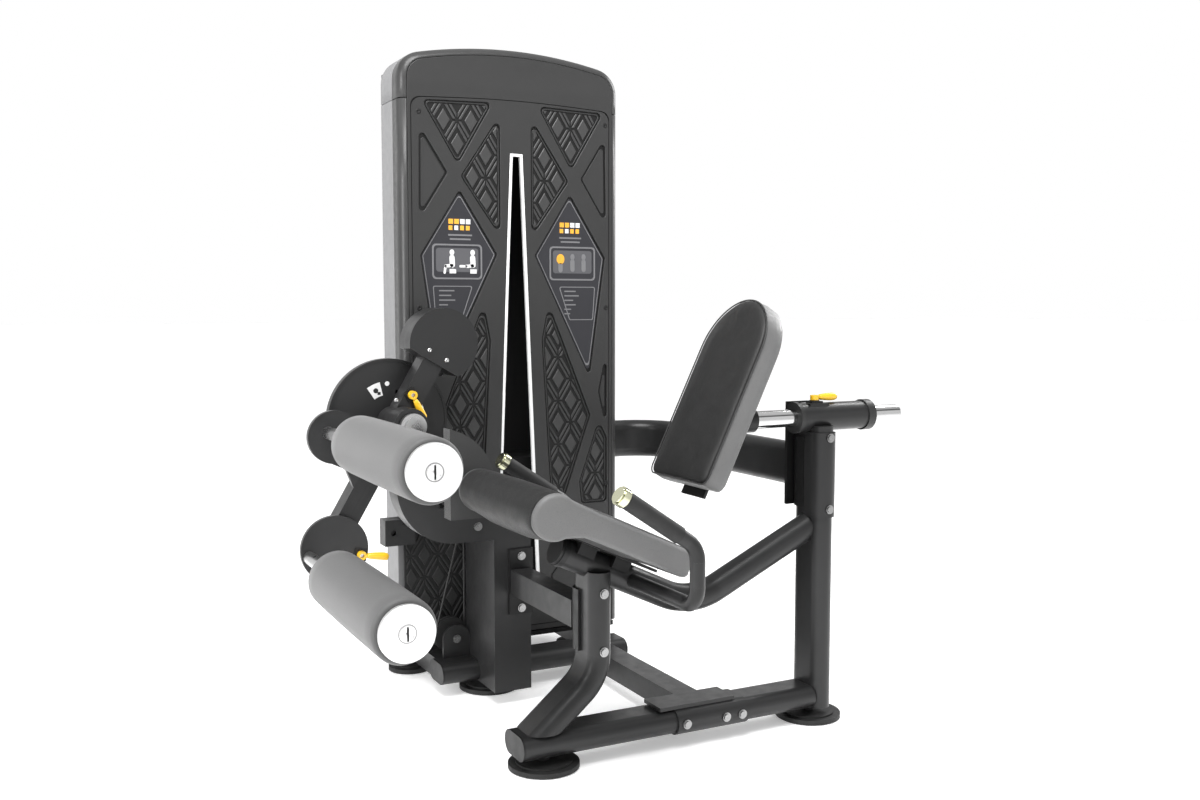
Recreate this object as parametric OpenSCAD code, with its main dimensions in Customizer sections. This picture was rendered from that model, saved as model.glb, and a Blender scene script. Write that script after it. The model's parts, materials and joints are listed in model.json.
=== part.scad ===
// Leg extension machine: selectorised weight tower, side-mounted lever and seat frame.

/* [Tower] */
// Height of the arched tower top (mm)
tower_h = 1570; // [1500:5:1640]
// Width of the tower shroud (mm)
tower_w = 590; // [540:5:640]
// Plates lifted at rest by the selector pin
lifted_plates_n = 3; // [1:1:8]
// Plates left standing on the base
resting_plates_n = 11; // [6:1:12]

/* [Frame] */
// Long side of the flat-oval frame tube (mm)
oval_w = 100; // [90:5:110]
// Short side of the flat-oval frame tube (mm)
oval_h = 50; // [45:5:55]
// Wall of the frame tubes (mm)
wall = 3; // [2:0.5:4]
// Diameter of the rubber foot discs (mm)
foot_d = 147; // [120:1:150]

/* [Seat] */
// Width of the seat cushion (mm)
seat_w = 400; // [340:10:420]
// Tilt of the seat cushion (deg)
seat_tilt = 25; // [20:1:26]
// Lean of the backrest (deg)
back_lean = 26; // [15:1:30]

/* [Lever] */
// Lean of the lever arm from vertical (deg)
arm_lean = 30.4; // [20:0.1:36]
// Diameter of the foam rollers (mm)
foam_d = 122; // [100:1:124]
// Radius of the range disc (mm)
disc_r = 145; // [135:1:146]

/* [Hidden] */
$fn = 48;
NODES = ["carriage_sleeve", "sleeve_bushes", "seat_tube", "end_caps", "saddle_plates",
    "joint_sleeves", "seat_posts", "base_beams", "seat_plate", "seat_pad", "side_handles",
    "handle_grips", "handle_caps", "leg_guard", "cross_rails", "tower_post", "hook_bracket",
    "rear_bearing", "cross_tube", "foot_discs", "frame_bolts", "tower_base", "shroud_left",
    "shroud_right", "shroud_cap", "slot_trim", "side_columns", "rear_cover", "guide_rods",
    "rest_stack", "pulley_brackets", "low_pulley", "idler_pulley", "top_pulley", "cable",
    "lift_stack", "selector_pin", "axle", "range_disc", "cam_wheel", "arm_tube", "index_plate",
    "lobe_plate", "counterweight", "upper_shaft", "upper_cap", "upper_foam", "crank_disc",
    "lower_shaft", "lower_cap", "lower_foam", "range_lever", "crank_lever", "clamp_lever",
    "range_pin", "crank_pin", "clamp_pin", "chrome_tube", "back_bracket", "back_pad"];
NODE_COUNT = len(NODES);
yc = -304;
seat_o = [-299, 0, 593];
pivot_x = -386;
pivot_z = 669;
tcx = -36;
tx0 = tcx - tower_w / 2;
tx1 = tcx + tower_w / 2;
front_y = 318;
post_x = 433;
sleeve_z = 688;
crank_lz = -318;
roller_y0 = -532;
roller_y1 = -82;
shaft_r = 14;
stack_x = -34;
stack_y = 470;
plate_t = 26;
stack_z0 = 150;
stack_top = stack_z0 + plate_t * resting_plates_n;
cable_r = 2.5;
cable_y = 292;
cam_cr = 118;
idler_c = [-204, 513];
low_c = [-225, 125];
pul_cr = 38;
top_cr = 43;
top_c = [stack_x - top_cr, 1430];

module stadium(w, h) {
    square([w - h, h], center = true);
    for (s = [-1, 1]) translate([s * (w - h) / 2, 0]) circle(d = h);
}

module stadium_v(w, h) {
    rotate(90) stadium(w, h);
}

module ring(ro, ri) {
    difference() {
        circle(r = ro);
        circle(r = ri);
    }
}

module along_x(x0, x1, y, z) {
    translate([x0, y, z]) rotate([90, 0, 90]) linear_extrude(x1 - x0) children();
}

module along_y(y0, y1, x = 0, z = 0) {
    translate([x, y1, z]) rotate([90, 0, 0]) linear_extrude(y1 - y0) children();
}

module seat_frame() {
    translate(seat_o) rotate([0, seat_tilt, 0]) children();
}

module arm_frame() {
    translate([pivot_x, 0, pivot_z]) rotate([0, arm_lean, 0]) children();
}

module back_frame() {
    translate([63, 0, 573]) rotate([0, back_lean, 0]) children();
}

module arc_xz(cx, cz, r, a0, sweep, y) {
    translate([cx, y, cz]) rotate([90, 0, 0]) rotate([0, 0, a0])
        rotate_extrude(angle = sweep) translate([r, 0]) children();
}

// ---- seat frame ----
module oval_ring() {
    difference() {
        stadium_v(oval_w, oval_h);
        stadium_v(oval_w - 2 * wall, oval_h - 2 * wall);
    }
}

module seat_tube_solid(r) {
    leg_a = 25;
    bend_r = 150;
    cz = 297 + bend_r / cos(leg_a);
    tan_x = bend_r * sin(leg_a);
    tan_z = cz - bend_r * cos(leg_a);
    translate([106 - tan_x, yc, tan_z]) rotate([0, leg_a - 90, 0]) cylinder(r = r, h = 279.8);
    translate([106 + tan_x, yc, tan_z]) rotate([0, 90 - leg_a, 0]) cylinder(r = r, h = 278);
    arc_xz(106, cz, bend_r, 270 - leg_a, 2 * leg_a, yc) circle(r = r);
}

module rear_outline() {
    translate([post_x, yc]) stadium_v(oval_w, oval_h);
}

module carriage_sleeve() {
    color("dimgray") difference() {
        along_x(382, 561, yc, sleeve_z) ring(32, 22);
        translate([430, yc, sleeve_z + 15]) cylinder(r = 5.1, h = 30);
    }
    color("black") difference() {
        at_clamp() {
            latch_base();
            translate([-26, -20, -10]) difference() {
                cube([52, 40, 10]);
                translate([26, 20, -1]) cylinder(r = 5.1, h = 40);
            }
        }
        along_x(380, 590, yc, sleeve_z) circle(r = 32);
    }
}

module sleeve_bushes() {
    color("black") {
        along_x(372, 382, yc, sleeve_z) ring(35, 19.55);
        along_x(382, 402, yc, sleeve_z) ring(22, 19.55);
        along_x(541, 561, yc, sleeve_z) ring(22, 19.55);
        along_x(561, 581, yc, sleeve_z) ring(35, 19.55);
    }
}

module pipe(len) {
    linear_extrude(len) ring(30, 27);
}

module seat_tube() {
    leg_a = 25;
    bend_r = 150;
    cz = 297 + bend_r / cos(leg_a);
    tan_x = bend_r * sin(leg_a);
    tan_z = cz - bend_r * cos(leg_a);
    color("dimgray") {
        translate([106 - tan_x, yc, tan_z]) rotate([0, leg_a - 90, 0]) pipe(279.8);
        difference() {
            translate([106 + tan_x, yc, tan_z]) rotate([0, 90 - leg_a, 0]) pipe(278);
            translate([0, 0, 30]) linear_extrude(640) rear_outline();
        }
        arc_xz(106, cz, bend_r, 270 - leg_a, 2 * leg_a, yc) ring(30, 27);
    }
}

module front_leg_frame() {
    translate([106 - 150 * sin(25), yc, 297 + 150 / cos(25) - 150 * cos(25)])
        rotate([0, -65, 0]) children();
}

module end_caps() {
    color("black") {
        along_x(-307, -303, yc, 55) stadium(oval_w, oval_h);
        along_x(-284, -280, 228, 55) stadium(oval_w, oval_h);
        along_x(212, 216, 228, 55) stadium(oval_w, oval_h);
    }
    color("black") front_leg_frame() {
        translate([0, 0, 279.85]) cylinder(r = 30, h = 5);
        translate([0, 0, 266]) difference() {
            cylinder(r = 32, h = 12);
            translate([0, 0, -1]) cylinder(r = 30.05, h = 14);
        }
    }
}

module rear_leg_solid() {
    translate([106 + 150 * sin(25), yc, 297 + 150 / cos(25) - 150 * cos(25)])
        rotate([0, 65, 0]) cylinder(r = 30.05, h = 300);
}

module saddle_plates() {
    color("black") translate([-130, yc, 228]) linear_extrude(128) intersection() {
        difference() {
            stadium_v(oval_w + 12, oval_h + 12);
            stadium_v(oval_w, oval_h);
        }
        translate([-60, 5]) square([120, 100]);
    }
    color("black") {
        difference() {
            translate([post_x, yc, 484]) linear_extrude(160) intersection() {
                difference() {
                    stadium_v(oval_w + 10, oval_h + 10);
                    stadium_v(oval_w, oval_h);
                }
                translate([-60, 1]) square([120, 52]);
            }
            rear_leg_solid();
        }
        along_y(yc + 53, yc + 61, post_x - 38, 484) square([76, 236]);
    }
    color("black") {
        along_y(76, 84, -125, 292) square([60, 155], center = true);
    }
}

module joint_sleeves() {
    color("dimgray") difference() {
        translate([post_x, yc, 466]) linear_extrude(190) intersection() {
            difference() {
                stadium_v(oval_w + 10, oval_h + 10);
                stadium_v(oval_w, oval_h);
            }
            translate([-60, -100]) square([120, 99]);
        }
        rear_leg_solid();
    }
    color("dimgray") {
        along_x(47, 225, yc, 55) difference() {
            stadium(oval_w + 10, oval_h + 6);
            stadium(oval_w, oval_h);
        }
        translate([12, yc - 35, 83]) cube([186, 70, 8]);
    }
}

module post_bend(bend_r, bend_a, leg) {
    rotate([0, 0, -bend_a]) {
        rotate_extrude(angle = bend_a) translate([bend_r, 0]) oval_ring();
        translate([bend_r, 0, 0]) rotate([90, 0, 0]) linear_extrude(leg) oval_ring();
    }
}

module seat_posts() {
    bend_z = 227;
    bend_r = 100;
    color("dimgray") {
        difference() {
            translate([-130, yc, bend_z + 0.02]) linear_extrude(398 - bend_z) oval_ring();
            translate([42.6, yc, 326.6]) rotate([0, -65, 0]) cylinder(r = 30.01, h = 300);
        }
        difference() {
            translate([-130 - bend_r, yc, bend_z]) rotate([90, 0, 0]) post_bend(bend_r, 50, 150);
            translate([-400, yc - 80, -20]) cube([300, 160, 100]);
        }
        difference() {
            translate([0, 0, 30]) linear_extrude(640) rear_outline();
            translate([post_x, yc, 27]) linear_extrude(626)
                stadium_v(oval_w - 2 * wall, oval_h - 2 * wall);
            along_x(380, 590, yc, sleeve_z) circle(r = 32);
        }
    }
}

module base_beams() {
    color("dimgray") along_x(-303, post_x - oval_h / 2, yc, 55) difference() {
        stadium(oval_w, oval_h);
        stadium(oval_w - 2 * wall, oval_h - 2 * wall);
    }
    color("dimgray") along_x(-280, 212, 228, 55) difference() {
        stadium(oval_w, oval_h);
        stadium(oval_w - 2 * wall, oval_h - 2 * wall);
    }
}

module seat_plate() {
    color("black") difference() {
        seat_frame() {
            translate([64.2, yc - 100, -64]) cube([255.8, 200, 6]);
            translate([64.2, yc + 90, -64]) cube([37.8, 136, 6]);
            for (t = [170, 256]) translate([t, yc - 36, -88]) cube([40, 72, 24]);
        }
        seat_tube_solid(30);
    }
}

module pad_corner(t, n, r) {
    translate([t, n]) circle(r = r);
}

module seat_pad() {
    corner_r = 18;
    color("gray") seat_frame() along_y(yc - seat_w / 2, yc + seat_w / 2) {
        translate([0, -40]) square([332, 40 - corner_r]);
        translate([20, -58]) square([312 - corner_r, 58]);
        pad_corner(332 - corner_r, -corner_r, corner_r);
        pad_corner(332 - corner_r, -58 + corner_r, corner_r);
        translate([300, -58 + corner_r]) square([32, 58 - 2 * corner_r]);
        pad_corner(15, -42, 49);
    }
}

module side_handle(y, s) {
    r = 15;
    gap = 0.02;
    slope = 33.8;
    bend_r = 50;
    bend_x = -50;
    bend_z = 458.3;
    turn = 90 - slope;
    elbow_r = 40;
    bar_z = 370;
    arc_xz(bend_x - bend_r, bend_z, bend_r, 0, turn, y) circle(r = r);
    translate([bend_x - bend_r + bend_r * cos(turn), y, bend_z + bend_r * sin(turn)])
        rotate([0, slope - 90, 0]) translate([0, 0, gap]) cylinder(r = r, h = 160 - gap);
    translate([bend_x, y, bar_z + elbow_r + gap])
        cylinder(r = r, h = bend_z - bar_z - elbow_r - 2 * gap);
    translate([bend_x, y + s * elbow_r, bar_z + elbow_r]) rotate([90, 0, 90])
        rotate([0, 0, s > 0 ? 180 : 270]) rotate_extrude(angle = 90)
            translate([elbow_r, 0]) circle(r = r);
    difference() {
        translate([bend_x, y + s * (elbow_r + gap), bar_z]) rotate([s > 0 ? -90 : 90, 0, 0])
            cylinder(r = r, h = 278 - elbow_r - gap);
        translate([42.6, yc, 326.6]) rotate([0, -65, 0]) cylinder(r = 30, h = 200);
    }
}

module at_grip(s) {
    translate([50 * cos(56.2) - 100, yc + s * 278, 458.3 + 50 * sin(56.2)])
        rotate([0, -56.2, 0]) children();
}

module side_handles() {
    color("dimgray") for (s = [-1, 1]) side_handle(yc + s * 278, -s);
}

module handle_grips() {
    color("black") for (s = [-1, 1]) at_grip(s) translate([0, 0, 22]) difference() {
        cylinder(r = 17, h = 136);
        translate([0, 0, -1]) cylinder(r = 15.05, h = 138);
    }
}

module handle_caps() {
    color("silver") for (s = [-1, 1]) at_grip(s) translate([0, 0, 160.02]) {
        cylinder(r = 19, h = 14);
        translate([0, 0, 14]) cylinder(r = 16, h = 4);
    }
}

module leg_guard() {
    color("gray") along_y(-78, -38) intersection() {
        translate([-385, 545]) circle(r = 134);
        translate([-355, 480]) square([130, 210]);
    }
}

// ---- base frame ----
module post_outline(inset) {
    translate([-190 + inset, 84 + inset]) square([93 - 2 * inset, 186 - 2 * inset]);
}

module cross_rails() {
    color("dimgray") along_y(yc + 56, 76, -127, 293) difference() {
        square([50, 58], center = true);
        square([44, 52], center = true);
    }
    color("dimgray") difference() {
        along_y(yc + 30, 203, 133, 55) difference() {
            square([60, 50], center = true);
            square([54, 44], center = true);
        }
        along_x(40, 230, yc, 55) stadium(oval_w + 10, oval_h + 6);
        along_x(40, 230, 228, 55) stadium(oval_w, oval_h);
    }
}

module tower_post() {
    color("dimgray") difference() {
        translate([0, 0, 30]) linear_extrude(440) post_outline(0);
        translate([0, 0, 33]) linear_extrude(434) post_outline(4);
        along_x(-300, 230, 228, 55) stadium(oval_w, oval_h);
    }
}

module hook_bracket() {
    cx = -283;
    cz = 534;
    ro = 139;
    ri = 67;
    bar_w = ro - ri;
    color("dimgray") along_y(84, 144) difference() {
        union() {
            intersection() {
                translate([cx, cz]) ring(ro, ri);
                translate([cx - ro, cz - ro]) square([ro, ro]);
            }
            translate([cx - ro, cz]) square([bar_w, pivot_z - cz]);
            translate([cx, cz - ro]) square([-190 - cx, bar_w]);
            translate([pivot_x, pivot_z]) circle(r = 40);
        }
        translate([pivot_x, pivot_z]) circle(r = 15.05);
    }
}

module rear_bearing() {
    color("dimgray") along_y(332, 432) difference() {
        union() {
            translate([pivot_x, pivot_z]) circle(r = 38);
            translate([pivot_x, pivot_z - 38]) square([tx0 - pivot_x, 76]);
        }
        translate([pivot_x, pivot_z]) circle(r = 15.05);
    }
}

module cross_tube() {
    bend_r = 120;
    bend_y = 418 - bend_r;
    color("dimgray") {
        translate([0, 0, 573]) difference() {
            union() {
                along_x(tx1, post_x - bend_r, 418, 0) stadium_v(oval_w, oval_h);
                along_y(yc + 61, bend_y, post_x, 0) stadium_v(oval_w, oval_h);
                translate([post_x - bend_r, bend_y, 0]) rotate_extrude(angle = 90)
                    translate([bend_r, 0]) stadium_v(oval_w, oval_h);
            }
            union() {
                along_x(tx1 - 1, post_x - bend_r, 418, 0) stadium_v(oval_w - 6, oval_h - 6);
                along_y(yc + 60, bend_y, post_x, 0) stadium_v(oval_w - 6, oval_h - 6);
                translate([post_x - bend_r, bend_y, 0]) rotate_extrude(angle = 90)
                    translate([bend_r, 0]) stadium_v(oval_w - 6, oval_h - 6);
            }
        }
    }
}

module foot(x, y, d, top) {
    translate([x, y, 0]) {
        cylinder(d = d - 8, h = 2);
        translate([0, 0, 2]) cylinder(d = d, h = 10);
        translate([0, 0, 12]) cylinder(d = d - 30, h = 4);
        translate([0, 0, 16]) cylinder(d = 24, h = top - 16);
    }
}

module foot_discs() {
    color("black") {
        foot(-242, yc, foot_d, 30);
        foot(post_x - 10, yc, foot_d, 30);
        foot(-149, 223, foot_d, 30);
        foot(-275, 454, 112, 30);
        foot(204, 454, 112, 30);
    }
}

module dome_bolt(x, y, z) {
    translate([x, y, z]) rotate([90, 0, 0]) {
        cylinder(r = 10, h = 3);
        translate([0, 0, 3]) cylinder(r = 7.5, h = 3);
    }
}

module frame_bolts() {
    color("silver") {
        for (z = [236, 356]) dome_bolt(-130, yc - 50, z);
        for (z = [485, 645]) dome_bolt(post_x, yc - 55, z);
        for (x = [66, 206]) dome_bolt(x, yc - 55, 55);
        for (z = [229, 353]) dome_bolt(-125, 76, z);
        dome_bolt(low_c[0], 244, low_c[1]);
        dome_bolt(165, yc - 55, 55);
        dome_bolt(-230, 84, 430);
    }
}

// ---- tower ----
module tower_base() {
    color("dimgray") difference() {
        for (x = [-252, 180]) translate([x - 25, 253, 30]) difference() {
            cube([50, 325, 50]);
            translate([3, -1, 3]) cube([44, 327, 44]);
        }
        along_x(-300, 230, 228, 55) stadium(oval_w, oval_h);
    }
    color("dimgray") {
        translate([tx0 + 6, 330, 80]) cube([tower_w - 12, 250, 12]);
        translate([tx0 + 9, 376, 1484]) cube([tower_w - 18, 80, 10]);
        translate([tx0 + 56, 456, 1484]) cube([tower_w - 112, 130, 10]);
        side_block();
    }
}

module tower_arch(inset) {
    arch_r = 1200;
    corner_r = 65;
    half = tower_w / 2 - corner_r;
    corner_z = tower_h - arch_r + sqrt(pow(arch_r - corner_r, 2) - half * half);
    flat = (arch_r - inset) * half / (arch_r - corner_r);
    intersection() {
        union() {
            translate([tx0 + inset, 50]) square([tower_w - 2 * inset, corner_z - 50]);
            translate([tcx - flat, 50]) square([2 * flat, 1520]);
            for (x = [tcx - half, tcx + half])
                translate([x, corner_z]) circle(r = corner_r - inset);
        }
        translate([tcx, tower_h - arch_r]) circle(r = arch_r - inset, $fn = 160);
        translate([tx0, 0]) square([tower_w, tower_h]);
    }
}

module slot_outline(grow) {
    top = 1308 + grow;
    polygon([[-30 - 10 - grow, top], [-30 + 10 + grow, top],
        [-30 + 53 + grow, 250 - grow], [-30 - 53 - grow, 250 - grow]]);
}

module shroud_half(x0, x1) {
    along_y(front_y, front_y + 5) difference() {
        translate([x0, 100]) square([x1 - x0, 1331]);
        slot_outline(6);
    }
}

module shroud_left() {
    color("dimgray") difference() {
        union() {
            shroud_half(tx0, -30);
            translate([tx0, front_y + 5, 402]) cube([5, 45, 1029]);
        }
        translate([tx0 - 1, front_y - 1, 99]) cube([182, 8, 303]);
    }
}

module shroud_right() {
    color("dimgray") {
        shroud_half(-30, tx1);
        translate([tx1 - 5, front_y + 5, 100]) cube([5, 45, 1331]);
    }
}

module cap_rear(inset) {
    intersection() {
        tower_arch(10 + inset);
        translate([tx0 + 45 + inset, 1431]) square([tower_w - 90 - 2 * inset, 200]);
    }
}

module shroud_cap() {
    color("dimgray") {
        along_y(front_y, front_y + 5) intersection() {
            tower_arch(0);
            translate([tx0, 1431]) square([tower_w, 200]);
        }
        along_y(front_y + 5, 458) intersection() {
            difference() {
                tower_arch(0);
                tower_arch(6);
            }
            translate([tx0, 1431]) square([tower_w, 200]);
        }
        along_y(458, 598) difference() {
            cap_rear(0);
            cap_rear(6);
        }
    }
}

module slot_trim() {
    color("white") along_y(front_y - 2, front_y + 5) difference() {
        slot_outline(6);
        slot_outline(0);
    }
}

module side_columns() {
    color("silver") for (x = [tx0, tx1 - 34]) translate([x, 368, 92]) difference() {
        cube([34, 90, 1339]);
        translate([3, 3, -1]) cube([28, 84, 1341]);
    }
}

module side_block() {
    translate([-377, 323.1, 352]) difference() {
        union() {
            cube([76, 44.88, 49.9]);
            cube([45.9, 44.88, 64]);
        }
        translate([21, -1, 32]) rotate([-90, 0, 0]) cylinder(r = 7, h = 12);
    }
}

module rear_cover() {
    color("dimgray") translate([tx0 + 45, 458, 92]) difference() {
        cube([tower_w - 90, 143, 1339]);
        translate([4, -1, -1]) cube([tower_w - 98, 140, 1341]);
    }
}

module guide_rods() {
    color("silver") for (s = [-1, 1]) translate([stack_x + s * 120, stack_y, 92])
        cylinder(r = 12, h = 1392);
}

module stack_plate(z, hole_r) {
    translate([0, 0, z]) linear_extrude(plate_t - 0.4) difference() {
        translate([stack_x, stack_y]) square([330, 140], center = true);
        for (s = [-1, 1]) translate([stack_x + s * 120, stack_y]) circle(r = 12.1);
        translate([stack_x, stack_y]) circle(r = hole_r);
    }
}

module rest_stack() {
    color("black") {
        for (i = [0:resting_plates_n - 1]) stack_plate(stack_z0 + i * plate_t, 12.1);
        for (s = [-1, 1]) translate([stack_x + s * 120, stack_y, 92]) difference() {
            cylinder(r = 26, h = stack_z0 - 92);
            translate([0, 0, -1]) cylinder(r = 12.1, h = 100);
        }
    }
}

module pulley_brackets() {
    color("dimgray") {
        along_y(244, 252) {
            translate(low_c) circle(r = 34.5);
            translate([low_c[0] - 34.5, 80]) square([69, low_c[1] - 80]);
        }
        along_y(270, 278) {
            translate(idler_c) circle(r = 20);
            translate([idler_c[0] - 18, 470]) square([60, idler_c[1] - 470]);
            translate([-190, 410]) square([60, 80]);
        }
        for (y = [452, 484]) translate([top_c[0] - 20, y, top_c[1] - 16]) cube([40, 4, 70]);
        along_y(252, 306, low_c[0], low_c[1]) circle(r = 8);
        along_y(278, 306, idler_c[0], idler_c[1]) circle(r = 8);
        along_y(456, 484, top_c[0], top_c[1]) circle(r = 8);
    }
}

module pulley(c, r, y) {
    half_w = 10;
    translate([c[0], y, c[1]]) rotate([90, 0, 0]) rotate_extrude() polygon([
        [8.05, -half_w], [r + 5, -half_w], [r + 5, -6.5], [r - 2.8, -3.4],
        [r - 2.8, 3.4], [r + 5, 6.5], [r + 5, half_w], [8.05, half_w]]);
}

module low_pulley() {
    color("black") pulley(low_c, pul_cr, cable_y);
}

module idler_pulley() {
    color("black") pulley(idler_c, pul_cr, cable_y);
}

module top_pulley() {
    color("black") pulley(top_c, top_cr, stack_y);
}

module rod_between(a, b, r, gap) {
    d = b - a;
    len_xy = sqrt(d[0] * d[0] + d[1] * d[1]);
    translate(a) rotate([0, atan2(len_xy, d[2]), atan2(d[1], d[0])])
        translate([0, 0, gap]) cylinder(r = r, h = norm(d) - 2 * gap);
}

module cable() {
    run_a = 14;
    gap = 0.02;
    end_gap = 0.4;
    idler_low = [idler_c[0] + pul_cr * cos(run_a), cable_y, idler_c[1] - pul_cr * sin(run_a)];
    low_up = [low_c[0] - pul_cr * cos(run_a), cable_y, low_c[1] + pul_cr * sin(run_a)];
    low_end = [low_c[0] + pul_cr, cable_y, low_c[1]];
    top_end = [top_c[0] - top_cr, stack_y, top_c[1]];
    color("silver") {
        arc_xz(pivot_x, pivot_z, cam_cr, 150, 120, cable_y) circle(r = cable_r);
        along_x(pivot_x + gap, idler_c[0] - gap, cable_y, idler_c[1] + pul_cr)
            circle(r = cable_r);
        arc_xz(idler_c[0], idler_c[1], pul_cr, -run_a, 90 + run_a, cable_y) circle(r = cable_r);
        rod_between(idler_low, low_up, cable_r, gap);
        arc_xz(low_c[0], low_c[1], pul_cr, 180 - run_a, 180 + run_a, cable_y)
            circle(r = cable_r);
        rod_between(low_end, top_end, cable_r, end_gap);
        arc_xz(top_c[0], top_c[1], top_cr, 0, 180, stack_y) circle(r = cable_r);
        translate([stack_x, stack_y, 580]) cylinder(r = cable_r, h = top_c[1] - 580 - gap);
    }
}

// ---- lifted stack ----
module lift_stack() {
    head_z = stack_top + plate_t * lifted_plates_n;
    color("black") for (i = [0:lifted_plates_n - 1]) difference() {
        stack_plate(stack_top + i * plate_t, 12);
        if (i == 0) along_y(380, 460, stack_x, stack_top + 13) circle(r = 4.6);
    }
    color("gray") difference() {
        stack_plate(head_z, 12);
    }
    color("silver") difference() {
        translate([stack_x, stack_y, 170]) cylinder(r = 12, h = 430);
        translate([stack_x, stack_y, 410]) cylinder(r = 4, h = 200);
        along_y(440, 464, stack_x, stack_top + 13) circle(r = 4.6);
    }
}

module selector_pin() {
    color("gold") {
        along_y(384, 462, stack_x, stack_top + 13) circle(r = 4.5);
        along_y(366, 384, stack_x, stack_top + 13) circle(r = 13);
    }
}

// ---- cam body ----
module axle() {
    color("silver") {
        along_y(66, 434, pivot_x, pivot_z) circle(r = 15);
        along_y(66, 78, pivot_x, pivot_z) ring(30, 15);
        along_y(58, 66, pivot_x, pivot_z) circle(r = 22);
    }
}

module range_disc() {
    color("dimgray") along_y(253, 273, pivot_x, pivot_z) difference() {
        circle(r = disc_r, $fn = 96);
        circle(r = 15);
        for (a = [-2:2]) rotate(59.6 - a * 10 - 8) translate([69, 0]) circle(r = 5.5);
    }
}

module cam_wheel() {
    y0 = cable_y - 12;
    color("dimgray") translate([pivot_x, cable_y, pivot_z]) rotate([90, 0, 0])
        rotate_extrude($fn = 96) polygon([
            [15, -12], [cam_cr + 5, -12], [cam_cr + 5, -6], [cam_cr - 2.8, -3.4],
            [cam_cr - 2.8, 3.4], [cam_cr + 5, 6], [cam_cr + 5, 12], [15, 12]]);
}

// ---- lever body ----
module arm_tube() {
    color("dimgray") difference() {
        arm_frame() {
            translate([-25, 164, crank_lz]) cube([50, 54, 159 - crank_lz]);
            along_y(164, 218, 0, crank_lz) circle(r = 25);
            along_y(150, 232, 0, 0) circle(r = 34);
        }
        arm_frame() {
            along_y(140, 240, 0, 0) circle(r = 15.05);
            along_y(140, 240, 0, crank_lz) circle(r = 12.05);
            along_y(140, 240, -10, 69) circle(r = 5.1);
            translate([-21, 168, crank_lz + 40]) cube([42, 46, 230]);
            translate([-21, 168, 45]) cube([42, 46, 110]);
        }
    }
}

module index_plate() {
    color("black") arm_frame() along_y(158, 164) difference() {
        translate([0, crank_lz]) circle(r = 74);
        translate([0, crank_lz]) circle(r = 12.05);
        for (a = [0:4]) translate([0, crank_lz]) rotate(crank_pin_a - 10 * a) translate([60, 0]) circle(r = 5.5);
    }
    color("black") at_range() latch_base();
}

module lobe_plate() {
    color("dimgray") arm_frame() along_y(164, 178) difference() {
        union() {
            translate([-119, -98]) circle(r = 60);
            polygon([[-25, -40], [-25, -178], [-60, -150], [-130, -157], [-140, -42], [-70, -48]]);
        }
        translate([-137, -96]) circle(r = shaft_r);
    }
}

module counterweight() {
    color("dimgray") arm_frame() along_y(158, 233) intersection() {
        translate([0, 209]) circle(r = 83, $fn = 96);
        translate([-100, 159]) square([200, 200]);
    }
}

module roller_shaft(x, z, y1) {
    arm_frame() {
        along_y(roller_y0 - 4, y1, x, z) circle(r = shaft_r);
    }
}

module upper_shaft() {
    color("silver") roller_shaft(-137, -96, 178);
}

module end_cap(x, z) {
    arm_frame() {
        along_y(roller_y0 - 12, roller_y0 - 4, x, z) circle(r = 51);
        along_y(roller_y0 - 14, roller_y0 - 12, x, z) difference() {
            circle(r = 14);
            square([24, 3], center = true);
        }
    }
}

module foam(x, z) {
    arm_frame() along_y(roller_y0, roller_y1, x, z) ring(foam_d / 2, shaft_r + 0.3);
}

module upper_cap() {
    color("silver") end_cap(-137, -96);
}

module upper_foam() {
    color("gray") foam(-137, -96);
}

crank_pin_a = 14;
lower_lx = -43;
lower_lz = crank_lz - 40.4;

module crank_disc() {
    color("dimgray") arm_frame() {
        along_y(145.5, 157.7) difference() {
            translate([0, crank_lz]) circle(r = 76);
            translate([lower_lx, lower_lz]) circle(r = shaft_r);
            translate([0, crank_lz]) rotate(crank_pin_a) translate([60, 0]) circle(r = 5.1);
        }
        along_y(157.7, 226, 0, crank_lz) circle(r = 12);
    }
    color("black") at_crank() translate([0, 0, 0.02]) latch_base();
}

module lower_shaft() {
    color("silver") roller_shaft(lower_lx, lower_lz, 157.7);
}

module lower_cap() {
    color("silver") end_cap(lower_lx, lower_lz);
}

module lower_foam() {
    color("gray") foam(lower_lx, lower_lz);
}

// ---- latches: the pin runs along Z, outward is +Z, the grip turns about the pin ----
module latch_base() {
    difference() {
        union() {
            translate([-14, -13, 0]) cube([28, 26, 4]);
            cylinder(r = 11, h = 6);
        }
        translate([0, 0, -1]) cylinder(r = 5.1, h = 20);
    }
}

module latch_lever() {
    difference() {
        union() {
            translate([0, 0, 6.3]) cylinder(r = 10, h = 11);
            translate([0, 0, 12.4]) rotate([0, 90, 0]) cylinder(r = 4, h = 22);
            translate([20, 0, 12.4]) rotate([0, 90, 0]) cylinder(r = 6, h = 36);
            translate([56, 0, 12.4]) sphere(r = 6);
        }
        translate([0, 0, -1]) cylinder(r = 5.1, h = 20);
    }
}

module latch_pin(depth) {
    translate([0, 0, -depth]) cylinder(r = 5, h = depth + 10);
}

module at_range() {
    arm_frame() translate([-10, 164, 69]) rotate([0, 31, 0]) rotate([90, 0, 0]) children();
}

module at_crank() {
    arm_frame() translate([60 * cos(crank_pin_a), 145.5, crank_lz + 60 * sin(crank_pin_a)])
        rotate([0, -20, 0]) rotate([90, 0, 0]) children();
}

module at_clamp() {
    translate([430, yc, 720]) children();
}

module range_lever() {
    color("gold") at_range() latch_lever();
}

module crank_lever() {
    color("gold") at_crank() latch_lever();
}

module clamp_lever() {
    color("gold") at_clamp() latch_lever();
}

module range_pin() {
    color("silver") at_range() latch_pin(88.5);
}

module crank_pin() {
    color("silver") at_crank() latch_pin(12);
}

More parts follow.
